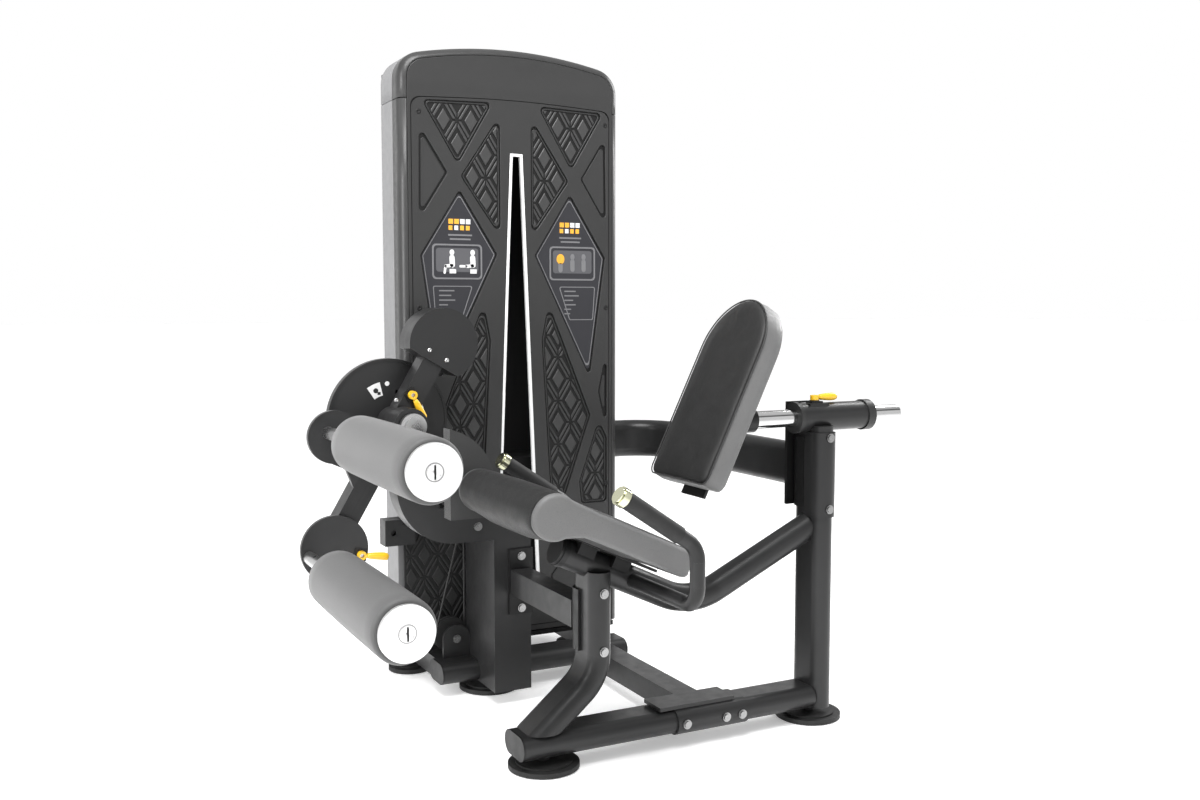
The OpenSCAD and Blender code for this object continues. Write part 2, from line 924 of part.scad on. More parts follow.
module clamp_pin() {
    color("silver") at_clamp() latch_pin(12.2);
}

// ---- backrest carriage ----
module chrome_tube() {
    color("silver") {
        along_x(200, 655.5, yc, sleeve_z) ring(19.5, 16.5);
        along_x(655.5, 665.5, yc, sleeve_z) circle(r = 19.5);
    }
}

module back_bracket() {
    color("black") difference() {
        union() {
            back_frame() translate([58, yc - 70, 60]) cube([8, 140, 290]);
            back_frame() translate([58, yc - 45, -16]) cube([6, 90, 80]);
            difference() {
                union() {
                    back_frame() translate([62, yc - 30, 90]) cube([16, 60, 150]);
                    along_x(180, 262, yc, sleeve_z) circle(r = 27);
                }
                back_frame() translate([-60, yc - 60, 0]) cube([122, 120, 400]);
            }
        }
        along_x(100, 300, yc, sleeve_z) circle(r = 19.5);
    }
}

module back_pad() {
    color("gray") back_frame() difference() {
        translate([0, yc, 0]) rotate([90, 0, 90]) linear_extrude(58) {
            translate([-100, 0]) square([200, 340]);
            translate([-117, 18]) square([234, 300]);
            for (s = [-1, 1]) translate([s * 99, 18]) circle(r = 18);
            translate([0, 307]) circle(r = 117.5);
        }
    }
}

carriage_sleeve();
sleeve_bushes();
seat_tube();
end_caps();
saddle_plates();
joint_sleeves();
seat_posts();
base_beams();
seat_plate();
seat_pad();
side_handles();
handle_grips();
handle_caps();
leg_guard();
cross_rails();
tower_post();
hook_bracket();
rear_bearing();
cross_tube();
foot_discs();
frame_bolts();
tower_base();
shroud_left();
shroud_right();
shroud_cap();
slot_trim();
side_columns();
rear_cover();
guide_rods();
rest_stack();
pulley_brackets();
low_pulley();
idler_pulley();
top_pulley();
cable();
lift_stack();
selector_pin();
axle();
range_disc();
cam_wheel();
arm_tube();
index_plate();
lobe_plate();
counterweight();
upper_shaft();
upper_cap();
upper_foam();
crank_disc();
lower_shaft();
lower_cap();
lower_foam();
range_lever();
crank_lever();
clamp_lever();
range_pin();
crank_pin();
clamp_pin();
chrome_tube();
back_bracket();
back_pad();
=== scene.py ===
import json
import math
import random

import bmesh
import bpy
from mathutils import Matrix, Vector


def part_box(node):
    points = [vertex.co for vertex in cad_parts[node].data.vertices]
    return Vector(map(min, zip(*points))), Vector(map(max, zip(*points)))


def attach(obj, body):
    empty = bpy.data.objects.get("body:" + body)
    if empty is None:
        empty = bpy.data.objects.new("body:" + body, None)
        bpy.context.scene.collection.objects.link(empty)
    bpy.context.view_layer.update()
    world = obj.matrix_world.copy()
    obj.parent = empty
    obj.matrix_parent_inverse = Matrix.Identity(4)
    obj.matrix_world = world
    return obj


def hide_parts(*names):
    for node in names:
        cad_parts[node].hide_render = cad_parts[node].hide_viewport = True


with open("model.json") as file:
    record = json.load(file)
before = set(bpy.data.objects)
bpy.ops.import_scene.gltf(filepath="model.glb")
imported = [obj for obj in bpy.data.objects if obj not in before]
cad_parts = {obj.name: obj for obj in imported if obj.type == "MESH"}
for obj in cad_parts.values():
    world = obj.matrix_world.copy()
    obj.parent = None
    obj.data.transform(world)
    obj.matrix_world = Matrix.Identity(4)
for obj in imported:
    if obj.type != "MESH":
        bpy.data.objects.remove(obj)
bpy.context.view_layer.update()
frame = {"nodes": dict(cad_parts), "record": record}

RNG = random.Random(7)
MM = 0.001
SEAT_O = Vector((-0.299, 0.0, 0.593))
SEAT_TILT = math.radians(25)
BACK_O = Vector((0.063, 0.0, 0.573))
BACK_LEAN = math.radians(26)
PIVOT = Vector((-0.386, 0.0, 0.669))
ARM_LEAN = math.radians(30.4)
YC = -0.304
FRONT_Y = 0.318
TOWER_X0 = -0.331
TOWER_X1 = 0.259
SLOT_X = -0.030


# ---------- materials ----------
def new_mat(name):
    """An empty node material: (material, tree, Principled node)."""
    m = bpy.data.materials.new(name)
    m.use_nodes = True
    t = m.node_tree
    t.nodes.clear()
    out = t.nodes.new("ShaderNodeOutputMaterial")
    b = t.nodes.new("ShaderNodeBsdfPrincipled")
    t.links.new(b.outputs[0], out.inputs[0])
    return m, t, b


def coords(t, scale=1.0, stretch=(1, 1, 1)):
    """Object coordinates, scaled."""
    tc = t.nodes.new("ShaderNodeTexCoord")
    mp = t.nodes.new("ShaderNodeMapping")
    mp.inputs["Scale"].default_value = [scale * s for s in stretch]
    t.links.new(tc.outputs["Object"], mp.inputs["Vector"])
    return mp.outputs[0]


def noise(t, vec, scale, detail=4.0, rough=0.5):
    """A noise factor."""
    n = t.nodes.new("ShaderNodeTexNoise")
    n.inputs["Scale"].default_value = scale
    n.inputs["Detail"].default_value = detail
    n.inputs["Roughness"].default_value = rough
    t.links.new(vec, n.inputs["Vector"])
    return n.outputs["Fac"]


def ramp(t, src, lo, hi, p0=0.3, p1=0.7):
    """Maps src from p0...p1 to lo...hi."""
    r = t.nodes.new("ShaderNodeMapRange")
    r.inputs["From Min"].default_value = p0
    r.inputs["From Max"].default_value = p1
    r.inputs["To Min"].default_value = lo
    r.inputs["To Max"].default_value = hi
    t.links.new(src, r.inputs["Value"])
    return r.outputs[0]


def mix_col(t, fac, a, b):
    """Mixes two colours; each is a tuple or a socket."""
    m = t.nodes.new("ShaderNodeMix")
    m.data_type = "RGBA"
    if isinstance(fac, float):
        m.inputs[0].default_value = fac
    else:
        t.links.new(fac, m.inputs[0])
    for sock, v in ((m.inputs[6], a), (m.inputs[7], b)):
        if isinstance(v, tuple):
            sock.default_value = (*v, 1)
        else:
            t.links.new(v, sock)
    return m.outputs[2]


def bump(t, b, height, strength, dist):
    """Puts a bump on the Principled node."""
    n = t.nodes.new("ShaderNodeBump")
    n.inputs["Strength"].default_value = strength
    n.inputs["Distance"].default_value = dist
    t.links.new(height, n.inputs["Height"])
    t.links.new(n.outputs[0], b.inputs["Normal"])


def edge_wear(t, base, worn, amount=0.6):
    """Lets the worn colour through on sharp outer edges."""
    g = t.nodes.new("ShaderNodeNewGeometry")
    e = ramp(t, g.outputs["Pointiness"], 0.0, amount, 0.52, 0.60)
    return mix_col(t, e, base, worn)


def grey(v, tint=0.0):
    """A grey, with blue raised by tint."""
    return (v, v, v * (1 + tint))


def powder(name, v, rough=0.42, grain=0.12, worn=1.5, spec=0.32):
    """Powder-coated steel: fine orange-peel bump, faint mottling, paler edges."""
    m, t, b = new_mat(name)
    vec = coords(t)
    cloud = ramp(t, noise(t, vec, 7, 3), 0.0, 1.0, 0.35, 0.65)
    col = mix_col(t, cloud, grey(v * 0.93, .015), grey(v * 1.07, .02))
    speck = ramp(t, noise(t, vec, 900, 2), 0.0, 0.35, 0.55, 0.75)
    col = mix_col(t, speck, col, grey(v * 1.35, .02))
    t.links.new(edge_wear(t, col, grey(min(1, v * worn), .02), 0.5), b.inputs["Base Color"])
    t.links.new(ramp(t, noise(t, vec, 40, 3), rough - .05, rough + .06), b.inputs["Roughness"])
    b.inputs["Specular IOR Level"].default_value = spec
    bump(t, b, noise(t, vec, 700, 2), grain, 0.0006)
    return m


def moulded(name, v, rough=0.5, scale=1400, strength=0.18, tint=0.0, worn=1.3):
    """Moulded plastic: fine spark-eroded texture, slight colour drift."""
    m, t, b = new_mat(name)
    vec = coords(t)
    col = mix_col(t, ramp(t, noise(t, vec, 5, 3), 0, 1), grey(v * .95, tint), grey(v * 1.06, tint))
    t.links.new(edge_wear(t, col, grey(min(1, v * worn), tint)), b.inputs["Base Color"])
    t.links.new(ramp(t, noise(t, vec, 60, 2), rough - .05, rough + .07), b.inputs["Roughness"])
    b.inputs["Specular IOR Level"].default_value = 0.35
    bump(t, b, noise(t, vec, scale, 2), strength, 0.0005)
    return m


def leather(name, v, rough=0.42, sheen=0.15, tint=0.0):
    """Vinyl upholstery: cellular grain with fine creases."""
    m, t, b = new_mat(name)
    vec = coords(t)
    vo = t.nodes.new("ShaderNodeTexVoronoi")
    vo.feature = "DISTANCE_TO_EDGE"
    vo.inputs["Scale"].default_value = 520
    t.links.new(vec, vo.inputs["Vector"])
    cell = ramp(t, vo.outputs["Distance"], 0.0, 1.0, 0.0, 0.12)
    col = mix_col(t, ramp(t, noise(t, vec, 9, 4), 0, 1), grey(v * .92, tint), grey(v * 1.08, tint))
    col = mix_col(t, cell, grey(v * .72, tint), col)
    t.links.new(col, b.inputs["Base Color"])
    t.links.new(ramp(t, noise(t, vec, 30, 3), rough - .05, rough + .08), b.inputs["Roughness"])
    b.inputs["Sheen Weight"].default_value = sheen
    b.inputs["Specular IOR Level"].default_value = 0.35
    b.inputs["Sheen Roughness"].default_value = 0.5
    mx = t.nodes.new("ShaderNodeMath")
    mx.operation = "ADD"
    t.links.new(cell, mx.inputs[0])
    t.links.new(noise(t, vec, 90, 3), mx.inputs[1])
    bump(t, b, mx.outputs[0], 0.22, 0.0007)
    return m


def foam_mat(name, v):
    """Closed-cell roller foam: fine pores and soft sheen."""
    m, t, b = new_mat(name)
    vec = coords(t)
    vo = t.nodes.new("ShaderNodeTexVoronoi")
    vo.inputs["Scale"].default_value = 900
    t.links.new(vec, vo.inputs["Vector"])
    pore = ramp(t, vo.outputs["Distance"], 0.0, 1.0, 0.1, 0.5)
    col = mix_col(t, ramp(t, noise(t, vec, 12, 4), 0, 1), grey(v * .94), grey(v * 1.05))
    t.links.new(mix_col(t, pore, grey(v * .85), col), b.inputs["Base Color"])
    b.inputs["Roughness"].default_value = 0.62
    b.inputs["Sheen Weight"].default_value = 0.2
    bump(t, b, pore, 0.12, 0.0005)
    return m


def metal(name, v, rough, stretch=(1, 1, 1), scale=300, strength=0.05, tint=0.0):
    """Bare metal: brushed or polished, with faint smudges."""
    m, t, b = new_mat(name)
    vec = coords(t, 1.0, stretch)
    plain = coords(t)
    col = mix_col(t, ramp(t, noise(t, plain, 14, 3), 0, 1), grey(v * .93, tint), grey(v, tint))
    t.links.new(col, b.inputs["Base Color"])
    b.inputs["Metallic"].default_value = 1.0
    t.links.new(ramp(t, noise(t, plain, 22, 4), rough * .8, rough * 1.35), b.inputs["Roughness"])
    bump(t, b, noise(t, vec, scale, 3), strength, 0.0004)
    return m


def colour(name, rgb, rough, coat=0.3):
    """Coloured moulded plastic with a thin gloss coat."""
    m, t, b = new_mat(name)
    vec = coords(t)
    dark = tuple(c * .9 for c in rgb)
    t.links.new(mix_col(t, ramp(t, noise(t, vec, 40, 3), 0, 1), dark, rgb), b.inputs["Base Color"])
    t.links.new(ramp(t, noise(t, vec, 80, 2), rough - .04, rough + .06), b.inputs["Roughness"])
    b.inputs["Coat Weight"].default_value = coat
    bump(t, b, noise(t, vec, 500, 2), 0.05, 0.0004)
    return m


MATS = {
    "frame_paint": powder("frame_powder", 0.011, rough=0.34, worn=2.2),
    "black_paint": powder("black_powder", 0.006, rough=0.42),
    "column_paint": powder("column_powder", 0.17, rough=0.38, worn=1.1),
    "shroud_plastic": moulded("shroud_moulded", 0.026, rough=0.33, worn=1.8),
    "cover_paint": powder("cover_powder", 0.03),
    "trim_white": moulded("trim_moulded", 0.80, rough=0.30, strength=0.05, worn=1.0),
    "rubber": moulded("rubber_moulded", 0.012, rough=0.62, scale=700, strength=0.3),
    "nylon": moulded("nylon_moulded", 0.018, rough=0.42),
    "upholstery": leather("vinyl_dark", 0.007, sheen=0.06),
    "foam": foam_mat("roller_foam", 0.057),
    "chrome": metal("chrome_plate", 0.58, 0.10, strength=0.01),
    "steel": metal("turned_steel", 0.55, 0.28, stretch=(1, 0.05, 1), strength=0.08),
    "aluminium": metal("satin_aluminium", 0.80, 0.42, strength=0.05),
    "yellow": colour("yellow_grip", (0.80, 0.47, 0.015), 0.32),
    "stack_iron": powder("iron_black", 0.010, rough=0.55, grain=0.35),
}
# bolt metal for the frame bolts; on the roller caps it also serves as painted shade in the gap round the
# screw and in its slot
BOLT_STEEL_AND_GAP_SHADE = metal("bolt_steel_and_gap_shade", 0.30, 0.26, strength=0.02)
KNURL = metal("knurled_brass_chrome", 0.62, 0.16, strength=0.05, tint=-0.28)
# painted shade: near black for the floors of the shallow recesses and the gaps that show the closing plate
RECESS_PAINTED_SHADE = moulded("recess_painted_shade", 0.0035, rough=0.5)
GUARD = leather("guard_vinyl", 0.035)
# painted light: the same dark vinyl made much lighter for the side faces, which stand brighter where the
# light falls on them
VINYL_PAINTED_LIT = leather("vinyl_painted_lit_side", 0.13, sheen=0.1)
PIPING = leather("piping_vinyl", 0.02)
PLACARD = moulded("placard_face", 0.022, rough=0.34, strength=0.0, tint=0.18, worn=1.0)
PANEL_DARK = moulded("placard_box", 0.08, rough=0.34, strength=0.0, tint=0.08, worn=1.0)
GRAPHIC = moulded("graphic_white", 0.62, rough=0.4, strength=0.02, worn=1.0)
GRAPHIC_DIM = moulded("graphic_grey", 0.15, rough=0.4, strength=0.02, tint=0.04, worn=1.0)
AMBER = colour("graphic_amber", (0.75, 0.36, 0.03), 0.4, 0.1)
HOLE = moulded("hole_black", 0.004, rough=0.6)
RECORD = {s["node"]: s["material_slot"] for s in frame["record"]["subparts"]}
for node_name, node in frame["nodes"].items():
    node.data.materials.clear()
    node.data.materials.append(MATS[RECORD[node_name]])


# ---------- mesh helpers ----------
def link(name, mesh, mats, body="frame", smooth=False):
    """Adds a mesh as an object that rides on a body."""
    ob = bpy.data.objects.new(name, mesh)
    bpy.context.scene.collection.objects.link(ob)
    for m in mats:
        mesh.materials.append(m)
    if smooth:
        mesh.polygons.foreach_set("use_smooth", [True] * len(mesh.polygons))
    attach(ob, body)
    return ob


def mesh_of(bm, name, mats, body="frame", smooth=False):
    """Turns a finished bmesh into a named piece on its body."""
    bmesh.ops.recalc_face_normals(bm, faces=bm.faces)
    me = bpy.data.meshes.new(name)
    bm.to_mesh(me)
    bm.free()
    return link(name, me, mats, body, smooth)


def bake(ob):
    """Replaces the object's mesh with its modified one."""
    dg = bpy.context.evaluated_depsgraph_get()
    done = bpy.data.meshes.new_from_object(ob.evaluated_get(dg))
    ob.modifiers.clear()
    ob.data = done


def seat_point(t, y, n):
    """Seat frame (along, across, normal) to the shared frame."""
    c, s = math.cos(SEAT_TILT), math.sin(SEAT_TILT)
    return SEAT_O + Vector((t * c + n * s, y, -t * s + n * c))


def back_point(w, y, t):
    """Backrest frame (out, across, up) to the shared frame."""
    c, s = math.cos(BACK_LEAN), math.sin(BACK_LEAN)
    return BACK_O + Vector((w * c + t * s, y, -w * s + t * c))


def arm_point(x, y, z):
    """Arm frame, about the main axle, to the shared frame."""
    c, s = math.cos(ARM_LEAN), math.sin(ARM_LEAN)
    return PIVOT + Vector((x * c + z * s, y, -x * s + z * c))


def ring_loft(bm, rings, close=True, cap=True):
    """Skins a list of equal-length rings of points."""
    rows = [[bm.verts.new(p) for p in r] for r in rings]
    n = len(rows[0])
    for a, b in zip(rows, rows[1:]):
        for i in range(n if close else n - 1):
            j = (i + 1) % n
            bm.faces.new((a[i], a[j], b[j], b[i]))
    if cap:
        bm.faces.new(list(reversed(rows[0])))
        bm.faces.new(rows[-1])
    return rows


def lathe(name, axis_pt, profile, mats, body, steps=64, spans=None):
    """Turns (y, radius) points about a line along Y through axis_pt."""
    bm = bmesh.new()
    rings = []
    for y, r in profile:
        rings.append([(axis_pt.x + r * math.cos(a), y, axis_pt.z + r * math.sin(a))
                      for a in (2 * math.pi * k / steps for k in range(steps))])
    ring_loft(bm, rings, cap=profile[0][1] > 0 and profile[-1][1] > 0)
    if spans:
        bm.faces.ensure_lookup_table()
        for i, f in enumerate(bm.faces):
            band = min(i // steps, len(spans) - 1)
            f.material_index = spans[band]
    return mesh_of(bm, name, mats, body, smooth=True)


# ---------- padded pieces ----------
def finish_cushion(ob, crown):
    puff(ob, crown)


def puff(ob, cap):
    """Inflates a copy as cloth, keeps the movement small, and applies it."""
    rest = [v.co.copy() for v in ob.data.vertices]
    cloth = ob.modifiers.new("puff", "CLOTH")
    cloth.settings.use_pressure = True
    cloth.settings.uniform_pressure_force = 4
    cloth.settings.effector_weights.gravity = 0
    cloth.settings.quality = 5
    cloth.point_cache.frame_start = 1
    cloth.point_cache.frame_end = 12
    sc = bpy.context.scene
    for f in range(1, 13):
        sc.frame_set(f)
    dg = bpy.context.evaluated_depsgraph_get()
    moved = [v.co.copy() for v in ob.evaluated_get(dg).data.vertices]
    ob.modifiers.clear()
    sc.frame_set(1)
    for v, a, b in zip(ob.data.vertices, rest, moved):
        d = b - a
        if d.length > cap:
            d = d * (cap / d.length)
        v.co = a + d


def seam_tube(name, pts, r, mat, body):
    """A piping cord along a closed loop of points."""
    cu = bpy.data.curves.new(name, "CURVE")
    cu.dimensions = "3D"
    cu.bevel_depth = r
    cu.bevel_resolution = 3
    sp = cu.splines.new("POLY")
    sp.points.add(len(pts) - 1)
    for p, q in zip(sp.points, pts):
        p.co = (*q, 1)
    sp.use_cyclic_u = True
    tmp = bpy.data.objects.new(name, cu)
    bpy.context.scene.collection.objects.link(tmp)
    dg = bpy.context.evaluated_depsgraph_get()
    me = bpy.data.meshes.new_from_object(tmp.evaluated_get(dg))
    bpy.data.objects.remove(tmp)
    return link(name, me, [mat], body, smooth=True)


def backrest():
    """Backrest: a rounded-top pad, front face crowned, seam round the front edge; the side walls carry
    painted light, a lighter copy of the vinyl.
    """
    width, length, thick = 0.235, 0.4245, 0.056
    n_side, half = 14, width / 2

    def outline(inset):
        h = half - inset
        top = length - half
        pts = []
        r0 = max(0.004, 0.020 - inset * .3)
        for k in range(9):
            a = math.radians(180 + 90 * k / 8)
            pts.append((-h + r0 + r0 * math.cos(a), inset + r0 + r0 * math.sin(a)))
        for k in range(1, 8):
            pts.append((-h + r0 + (2 * h - 2 * r0) * k / 8, inset))
        for k in range(9):
            a = math.radians(270 + 90 * k / 8)
            pts.append((h - r0 + r0 * math.cos(a), inset + r0 + r0 * math.sin(a)))
        for k in range(1, n_side):
            pts.append((h, inset + r0 + (top - inset - r0) * k / n_side))
        for k in range(33):
            a = math.radians(180 * k / 32)
            pts.append((h * math.cos(a), top + h * math.sin(a)))
        for k in range(1, n_side):
            pts.append((-h, top - (top - inset - r0) * k / n_side))
        return pts

    rings = []
    levels = [(thick, 0.006), (thick - 0.004, 0.001), (thick * .6, -0.0015), (thick * .25, 0.0),
              (0.010, 0.001), (0.0070, 0.0035), (0.0055, 0.0035), (0.0035, 0.006), (0.0005, 0.014),
              (-0.0015, 0.030), (-0.003, 0.055), (-0.0038, 0.085)]
    for w, inset in levels:
        rings.append([back_point(w, YC + x, z) for x, z in outline(inset)])
    bm = bmesh.new()
    rows = ring_loft(bm, rings)
    bmesh.ops.recalc_face_normals(bm, faces=bm.faces)
    n = len(rows[0])
    bm.faces.ensure_lookup_table()
    # the side walls take the lighter copy of the vinyl: painted light
    for i, f in enumerate(bm.faces):
        band = i // n
        f.material_index = 1 if band < 4 else 0
    me = bpy.data.meshes.new("back_cushion")
    bm.to_mesh(me)
    bm.free()
    me.polygons[-1].material_index = 0
    ob = link("back_cushion", me, [MATS["upholstery"], VINYL_PAINTED_LIT], "carriage", True)
    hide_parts("back_pad")
    finish_cushion(ob, 0.003)
    loop = [back_point(0.0062, YC + x, z) for x, z in outline(0.0022)]
    seam_tube("back_piping", loop, 0.0016, PIPING, "carriage")


def seat():
    """Seat: long crowned pad with a rolled front edge; the side faces carry painted light, a lighter copy of
    the vinyl.
    """
    half = 0.200
    # cross-section in the seat frame (t, n), clockwise from the rear bottom
    section = []

    def arc(ct, cn, r, a0, a1, k):
        for i in range(k + 1):
            a = math.radians(a0 + (a1 - a0) * i / k)
            section.append((ct + r * math.cos(a), cn + r * math.sin(a)))

    arc(0.332 - 0.012, -0.046, 0.012, -90, 0, 5)
    arc(0.332 - 0.018, -0.018, 0.018, 0, 90, 7)
    for i in range(1, 9):
        t = 0.310 - 0.240 * i / 9
        section.append((t, 0.0015 * math.sin(math.pi * i / 9)))
    arc(0.015, -0.042, 0.049, 68, 318, 30)
    for i in range(1, 9):
        section.append((0.062 + 0.240 * i / 9, -0.058))
    n = len(section)
    rings = []
    levels = [(half + 0.0010, 0.0105), (half + 0.0004, 0.0080), (half - 0.0012, 0.0055),
              (half - 0.0038, 0.0032), (half - 0.0072, 0.0016), (half - 0.0100, 0.0012),
              (half - 0.0110, 0.0022), (half - 0.0120, 0.0010), (half - 0.018, 0.0002),
              (half - 0.035, 0.0), (half - 0.08, -0.0008), (half - 0.14, -0.0012)]
    ladder = levels + [(0.0, -0.0014)]
    ys = [(-y, s) for y, s in ladder] + [(y, s) for y, s in reversed(ladder[:-1])]

    def shrunk(s):
        out = []
        for i, (t, m) in enumerate(section):
            a, b = section[i - 1], section[(i + 1) % n]
            dx, dz = b[0] - a[0], b[1] - a[1]
            ln = math.hypot(dx, dz) or 1
            nx, nz = dz / ln, -dx / ln
            out.append((t - nx * s, m - nz * s))
        return out

    for y, s in ys:
        rings.append([seat_point(t, YC + y, m) for t, m in shrunk(s)])
    bm = bmesh.new()
    ring_loft(bm, rings)
    bmesh.ops.recalc_face_normals(bm, faces=bm.faces)
    me = bpy.data.meshes.new("seat_cushion")
    bm.to_mesh(me)
    bm.free()
    ob = link("seat_cushion", me, [MATS["upholstery"], VINYL_PAINTED_LIT], "frame", True)
    # the side faces take the lighter copy of the vinyl: painted light
    for p in me.polygons:
        c = p.center
        if abs(c.y - YC) > half - 0.0108:
            p.material_index = 1
    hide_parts("seat_pad")
    finish_cushion(ob, 0.003)


def roller(name, node, centre, body):
    """Foam roller: full round body with eased, slightly pinched ends."""
    y0, y1 = -0.532, -0.082
    prof = [(y0, 0.0145), (y0, 0.050), (y0 + 0.0012, 0.0545), (y0 + 0.004, 0.0578), (y0 + 0.009, 0.0598)]
    for i in range(1, 12):
        f = i / 12
        prof.append((y0 + 0.009 + (y1 - y0 - 0.018) * f, 0.0598 + 0.0012 * math.sin(math.pi * f) ** .5))
    prof += [(y1 - 0.009, 0.0598), (y1 - 0.004, 0.0578), (y1 - 0.0012, 0.0545), (y1, 0.050), (y1, 0.0145)]
    prof.append(prof[0])
    ob = lathe(name, centre, prof, [MATS["foam"]], body)
    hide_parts(node)
    return ob


backrest()
seat()
UPPER_AXIS = arm_point(-0.137, 0, -0.096)
LOWER_AXIS = arm_point(-0.043, 0, -0.3584)
roller("upper_roller_foam", "upper_foam", UPPER_AXIS, "upper_roller")
roller("lower_roller_foam", "lower_foam", LOWER_AXIS, "lower_roller")


# ---------- tower front ----------
def prism(bm, poly, y_back, y_front, chamfer, mat=0):
    """A raised plate: poly is a convex (x, z) loop; its front face is inset by chamfer."""
    n = len(poly)
    area = sum(poly[i][0] * poly[(i + 1) % n][1] - poly[(i + 1) % n][0] * poly[i][1]
               for i in range(n))
    if area < 0:
        poly = poly[::-1]
    inner = inset_poly(poly, chamfer)
    lip = y_front + chamfer * 0.8 if y_front < y_back else y_front
    rings = [[(x, y_back, z) for x, z in poly], [(x, lip, z) for x, z in poly],
             [(x, y_front, z) for x, z in inner]]
    rows = [[bm.verts.new(p) for p in r] for r in rings]
    for a, b in zip(rows, rows[1:]):
        for i in range(n):
            f = bm.faces.new((a[i], a[(i + 1) % n], b[(i + 1) % n], b[i]))
            f.material_index = mat
    f = bm.faces.new(rows[-1])
    f.material_index = mat
    f = bm.faces.new(list(reversed(rows[0])))
    f.material_index = mat


def inset_poly(poly, d):
    """Moves each edge of a counter-clockwise convex loop inwards by d."""
    n = len(poly)
    out = []
    for i in range(n):
        p0, p1, p2 = (Vector(poly[(i + k) % n]) for k in (-1, 0, 1))
        e1, e2 = (p1 - p0).normalized(), (p2 - p1).normalized()
        n1, n2 = Vector((-e1.y, e1.x)), Vector((-e2.y, e2.x))
        m = n1 + n2
        m = m / max(1e-6, m.dot(n1))
        out.append(tuple(p1 + m * d))
    return out


def clip(poly, a, b):
    """Keeps the part of a convex loop to the left of the line a-b."""
    out = []
    n = len(poly)

    def side(p):
        return (b[0] - a[0]) * (p[1] - a[1]) - (b[1] - a[1]) * (p[0] - a[0])

    for i in range(n):
        p, q = poly[i], poly[(i + 1) % n]
        sp, sq = side(p), side(q)
        if sp >= 0:
            out.append(p)
        if (sp >= 0) != (sq >= 0):
            f = sp / (sp - sq)
            out.append((p[0] + (q[0] - p[0]) * f, p[1] + (q[1] - p[1]) * f))
    return out


def clip_to(poly, region):
    """Clips a convex loop to a convex region."""
    n = len(region)
    for i in range(n):
        if len(poly) < 3:
            return []
        poly = clip(poly, region[i], region[(i + 1) % n])
    return poly if len(poly) > 2 else []


def ccw(poly):
    """The loop in counter-clockwise order."""
    n = len(poly)
    a = sum(poly[i][0] * poly[(i + 1) % n][1] - poly[(i + 1) % n][0] * poly[i][1] for i in range(n))
    return poly if a > 0 else poly[::-1]


def rounded(poly, r, k=5):
    """Rounds the corners of a convex loop."""
    poly = ccw(poly)
    n = len(poly)
    out = []
    for i in range(n):
        p0, p1, p2 = (Vector(poly[(i + j) % n]) for j in (-1, 0, 1))
        e1, e2 = (p0 - p1).normalized(), (p2 - p1).normalized()
        half = e1.angle(e2) / 2
        d = min(r / math.tan(half), (p0 - p1).length * .45, (p2 - p1).length * .45)
        rr = d * math.tan(half)
        c = p1 + (e1 + e2).normalized() * (rr / math.sin(half))
        a, b = p1 + e1 * d - c, p1 + e2 * d - c
        a0 = math.atan2(a.y, a.x)
        da = math.atan2(b.y, b.x) - a0
        while da <= -math.pi:
            da += 2 * math.pi
        while da > math.pi:
            da -= 2 * math.pi
        for j in range(k + 1):
            t = a0 + da * j / k
            out.append((c.x + rr * math.cos(t), c.y + rr * math.sin(t)))
    return out


def frame_between(bm, outer, inner, y_back, y_front, mat=0):
    """A flat raised frame between two loops of equal length."""
    n = len(outer)
    o0 = [bm.verts.new((x, y_back, z)) for x, z in outer]
    o1 = [bm.verts.new((x, y_front, z)) for x, z in outer]
    i1 = [bm.verts.new((x, y_front, z)) for x, z in inner]
    i0 = [bm.verts.new((x, y_back, z)) for x, z in inner]
    for a, b in ((o0, o1), (o1, i1), (i1, i0)):
        for i in range(n):
            j = (i + 1) % n
            f = bm.faces.new((a[i], a[j], b[j], b[i]))
            f.material_index = mat
    for i in range(n):
        j = (i + 1) % n
        bm.faces.new((i0[i], i0[j], o0[j], o0[i])).material_index = mat


# ---------- tower shroud ----------
FACE = FRONT_Y - 0.0055
CAP_Z = 1.4325  # lower edge of the cap
SHROUD_TOP = 1.4302  # upper edge of the two shroud halves
BAY_X, BAY_Z = -0.150, 0.402  # right and upper edges of the cable bay
ARCH_CX, ARCH_CZ, ARCH_R = -0.036, 0.370, 1.200


def tower_line(inset, z0=0.100, steps=40):
    """The tower's outline from the lower left up over the arch to the lower right, inset."""
    r = 0.065 - inset
    xl = TOWER_X0 + inset
    big = ARCH_R - inset
    xc = xl + r
    zc = ARCH_CZ + math.sqrt((big - r) ** 2 - (xc - ARCH_CX) ** 2)
    a1 = math.atan2(zc - ARCH_CZ, xc - ARCH_CX)
    left = [(xl, z0), (xl, z0 + 0.3), (xl, 0.9), (xl, 1.20), (xl, 1.431), (xl, 1.46)]
    left += [(xc + r * math.cos(math.pi + (a1 - math.pi) * k / 8),
              zc + r * math.sin(math.pi + (a1 - math.pi) * k / 8)) for k in range(9)]
    a0 = a1
    arc = [(ARCH_CX + big * math.cos(a0 + (math.pi - 2 * a0) * k / steps),
            ARCH_CZ + big * math.sin(a0 + (math.pi - 2 * a0) * k / steps)) for k in range(1, steps)]
    right = [(2 * ARCH_CX - x, z) for x, z in reversed(left)]
    return left + arc + right


def strip_loft(name, paths, mats, body="frame", smooth=True):
    """Skins open paths of equal length into a sheet, given as (points, y)."""
    bm = bmesh.new()
    rows = [[bm.verts.new((x, y, z)) for x, z in pts] for pts, y in paths]
    for a, b in zip(rows, rows[1:]):
        for i in range(len(a) - 1):
            bm.faces.new((a[i], a[i + 1], b[i + 1], b[i]))
    return mesh_of(bm, name, mats, body, smooth)


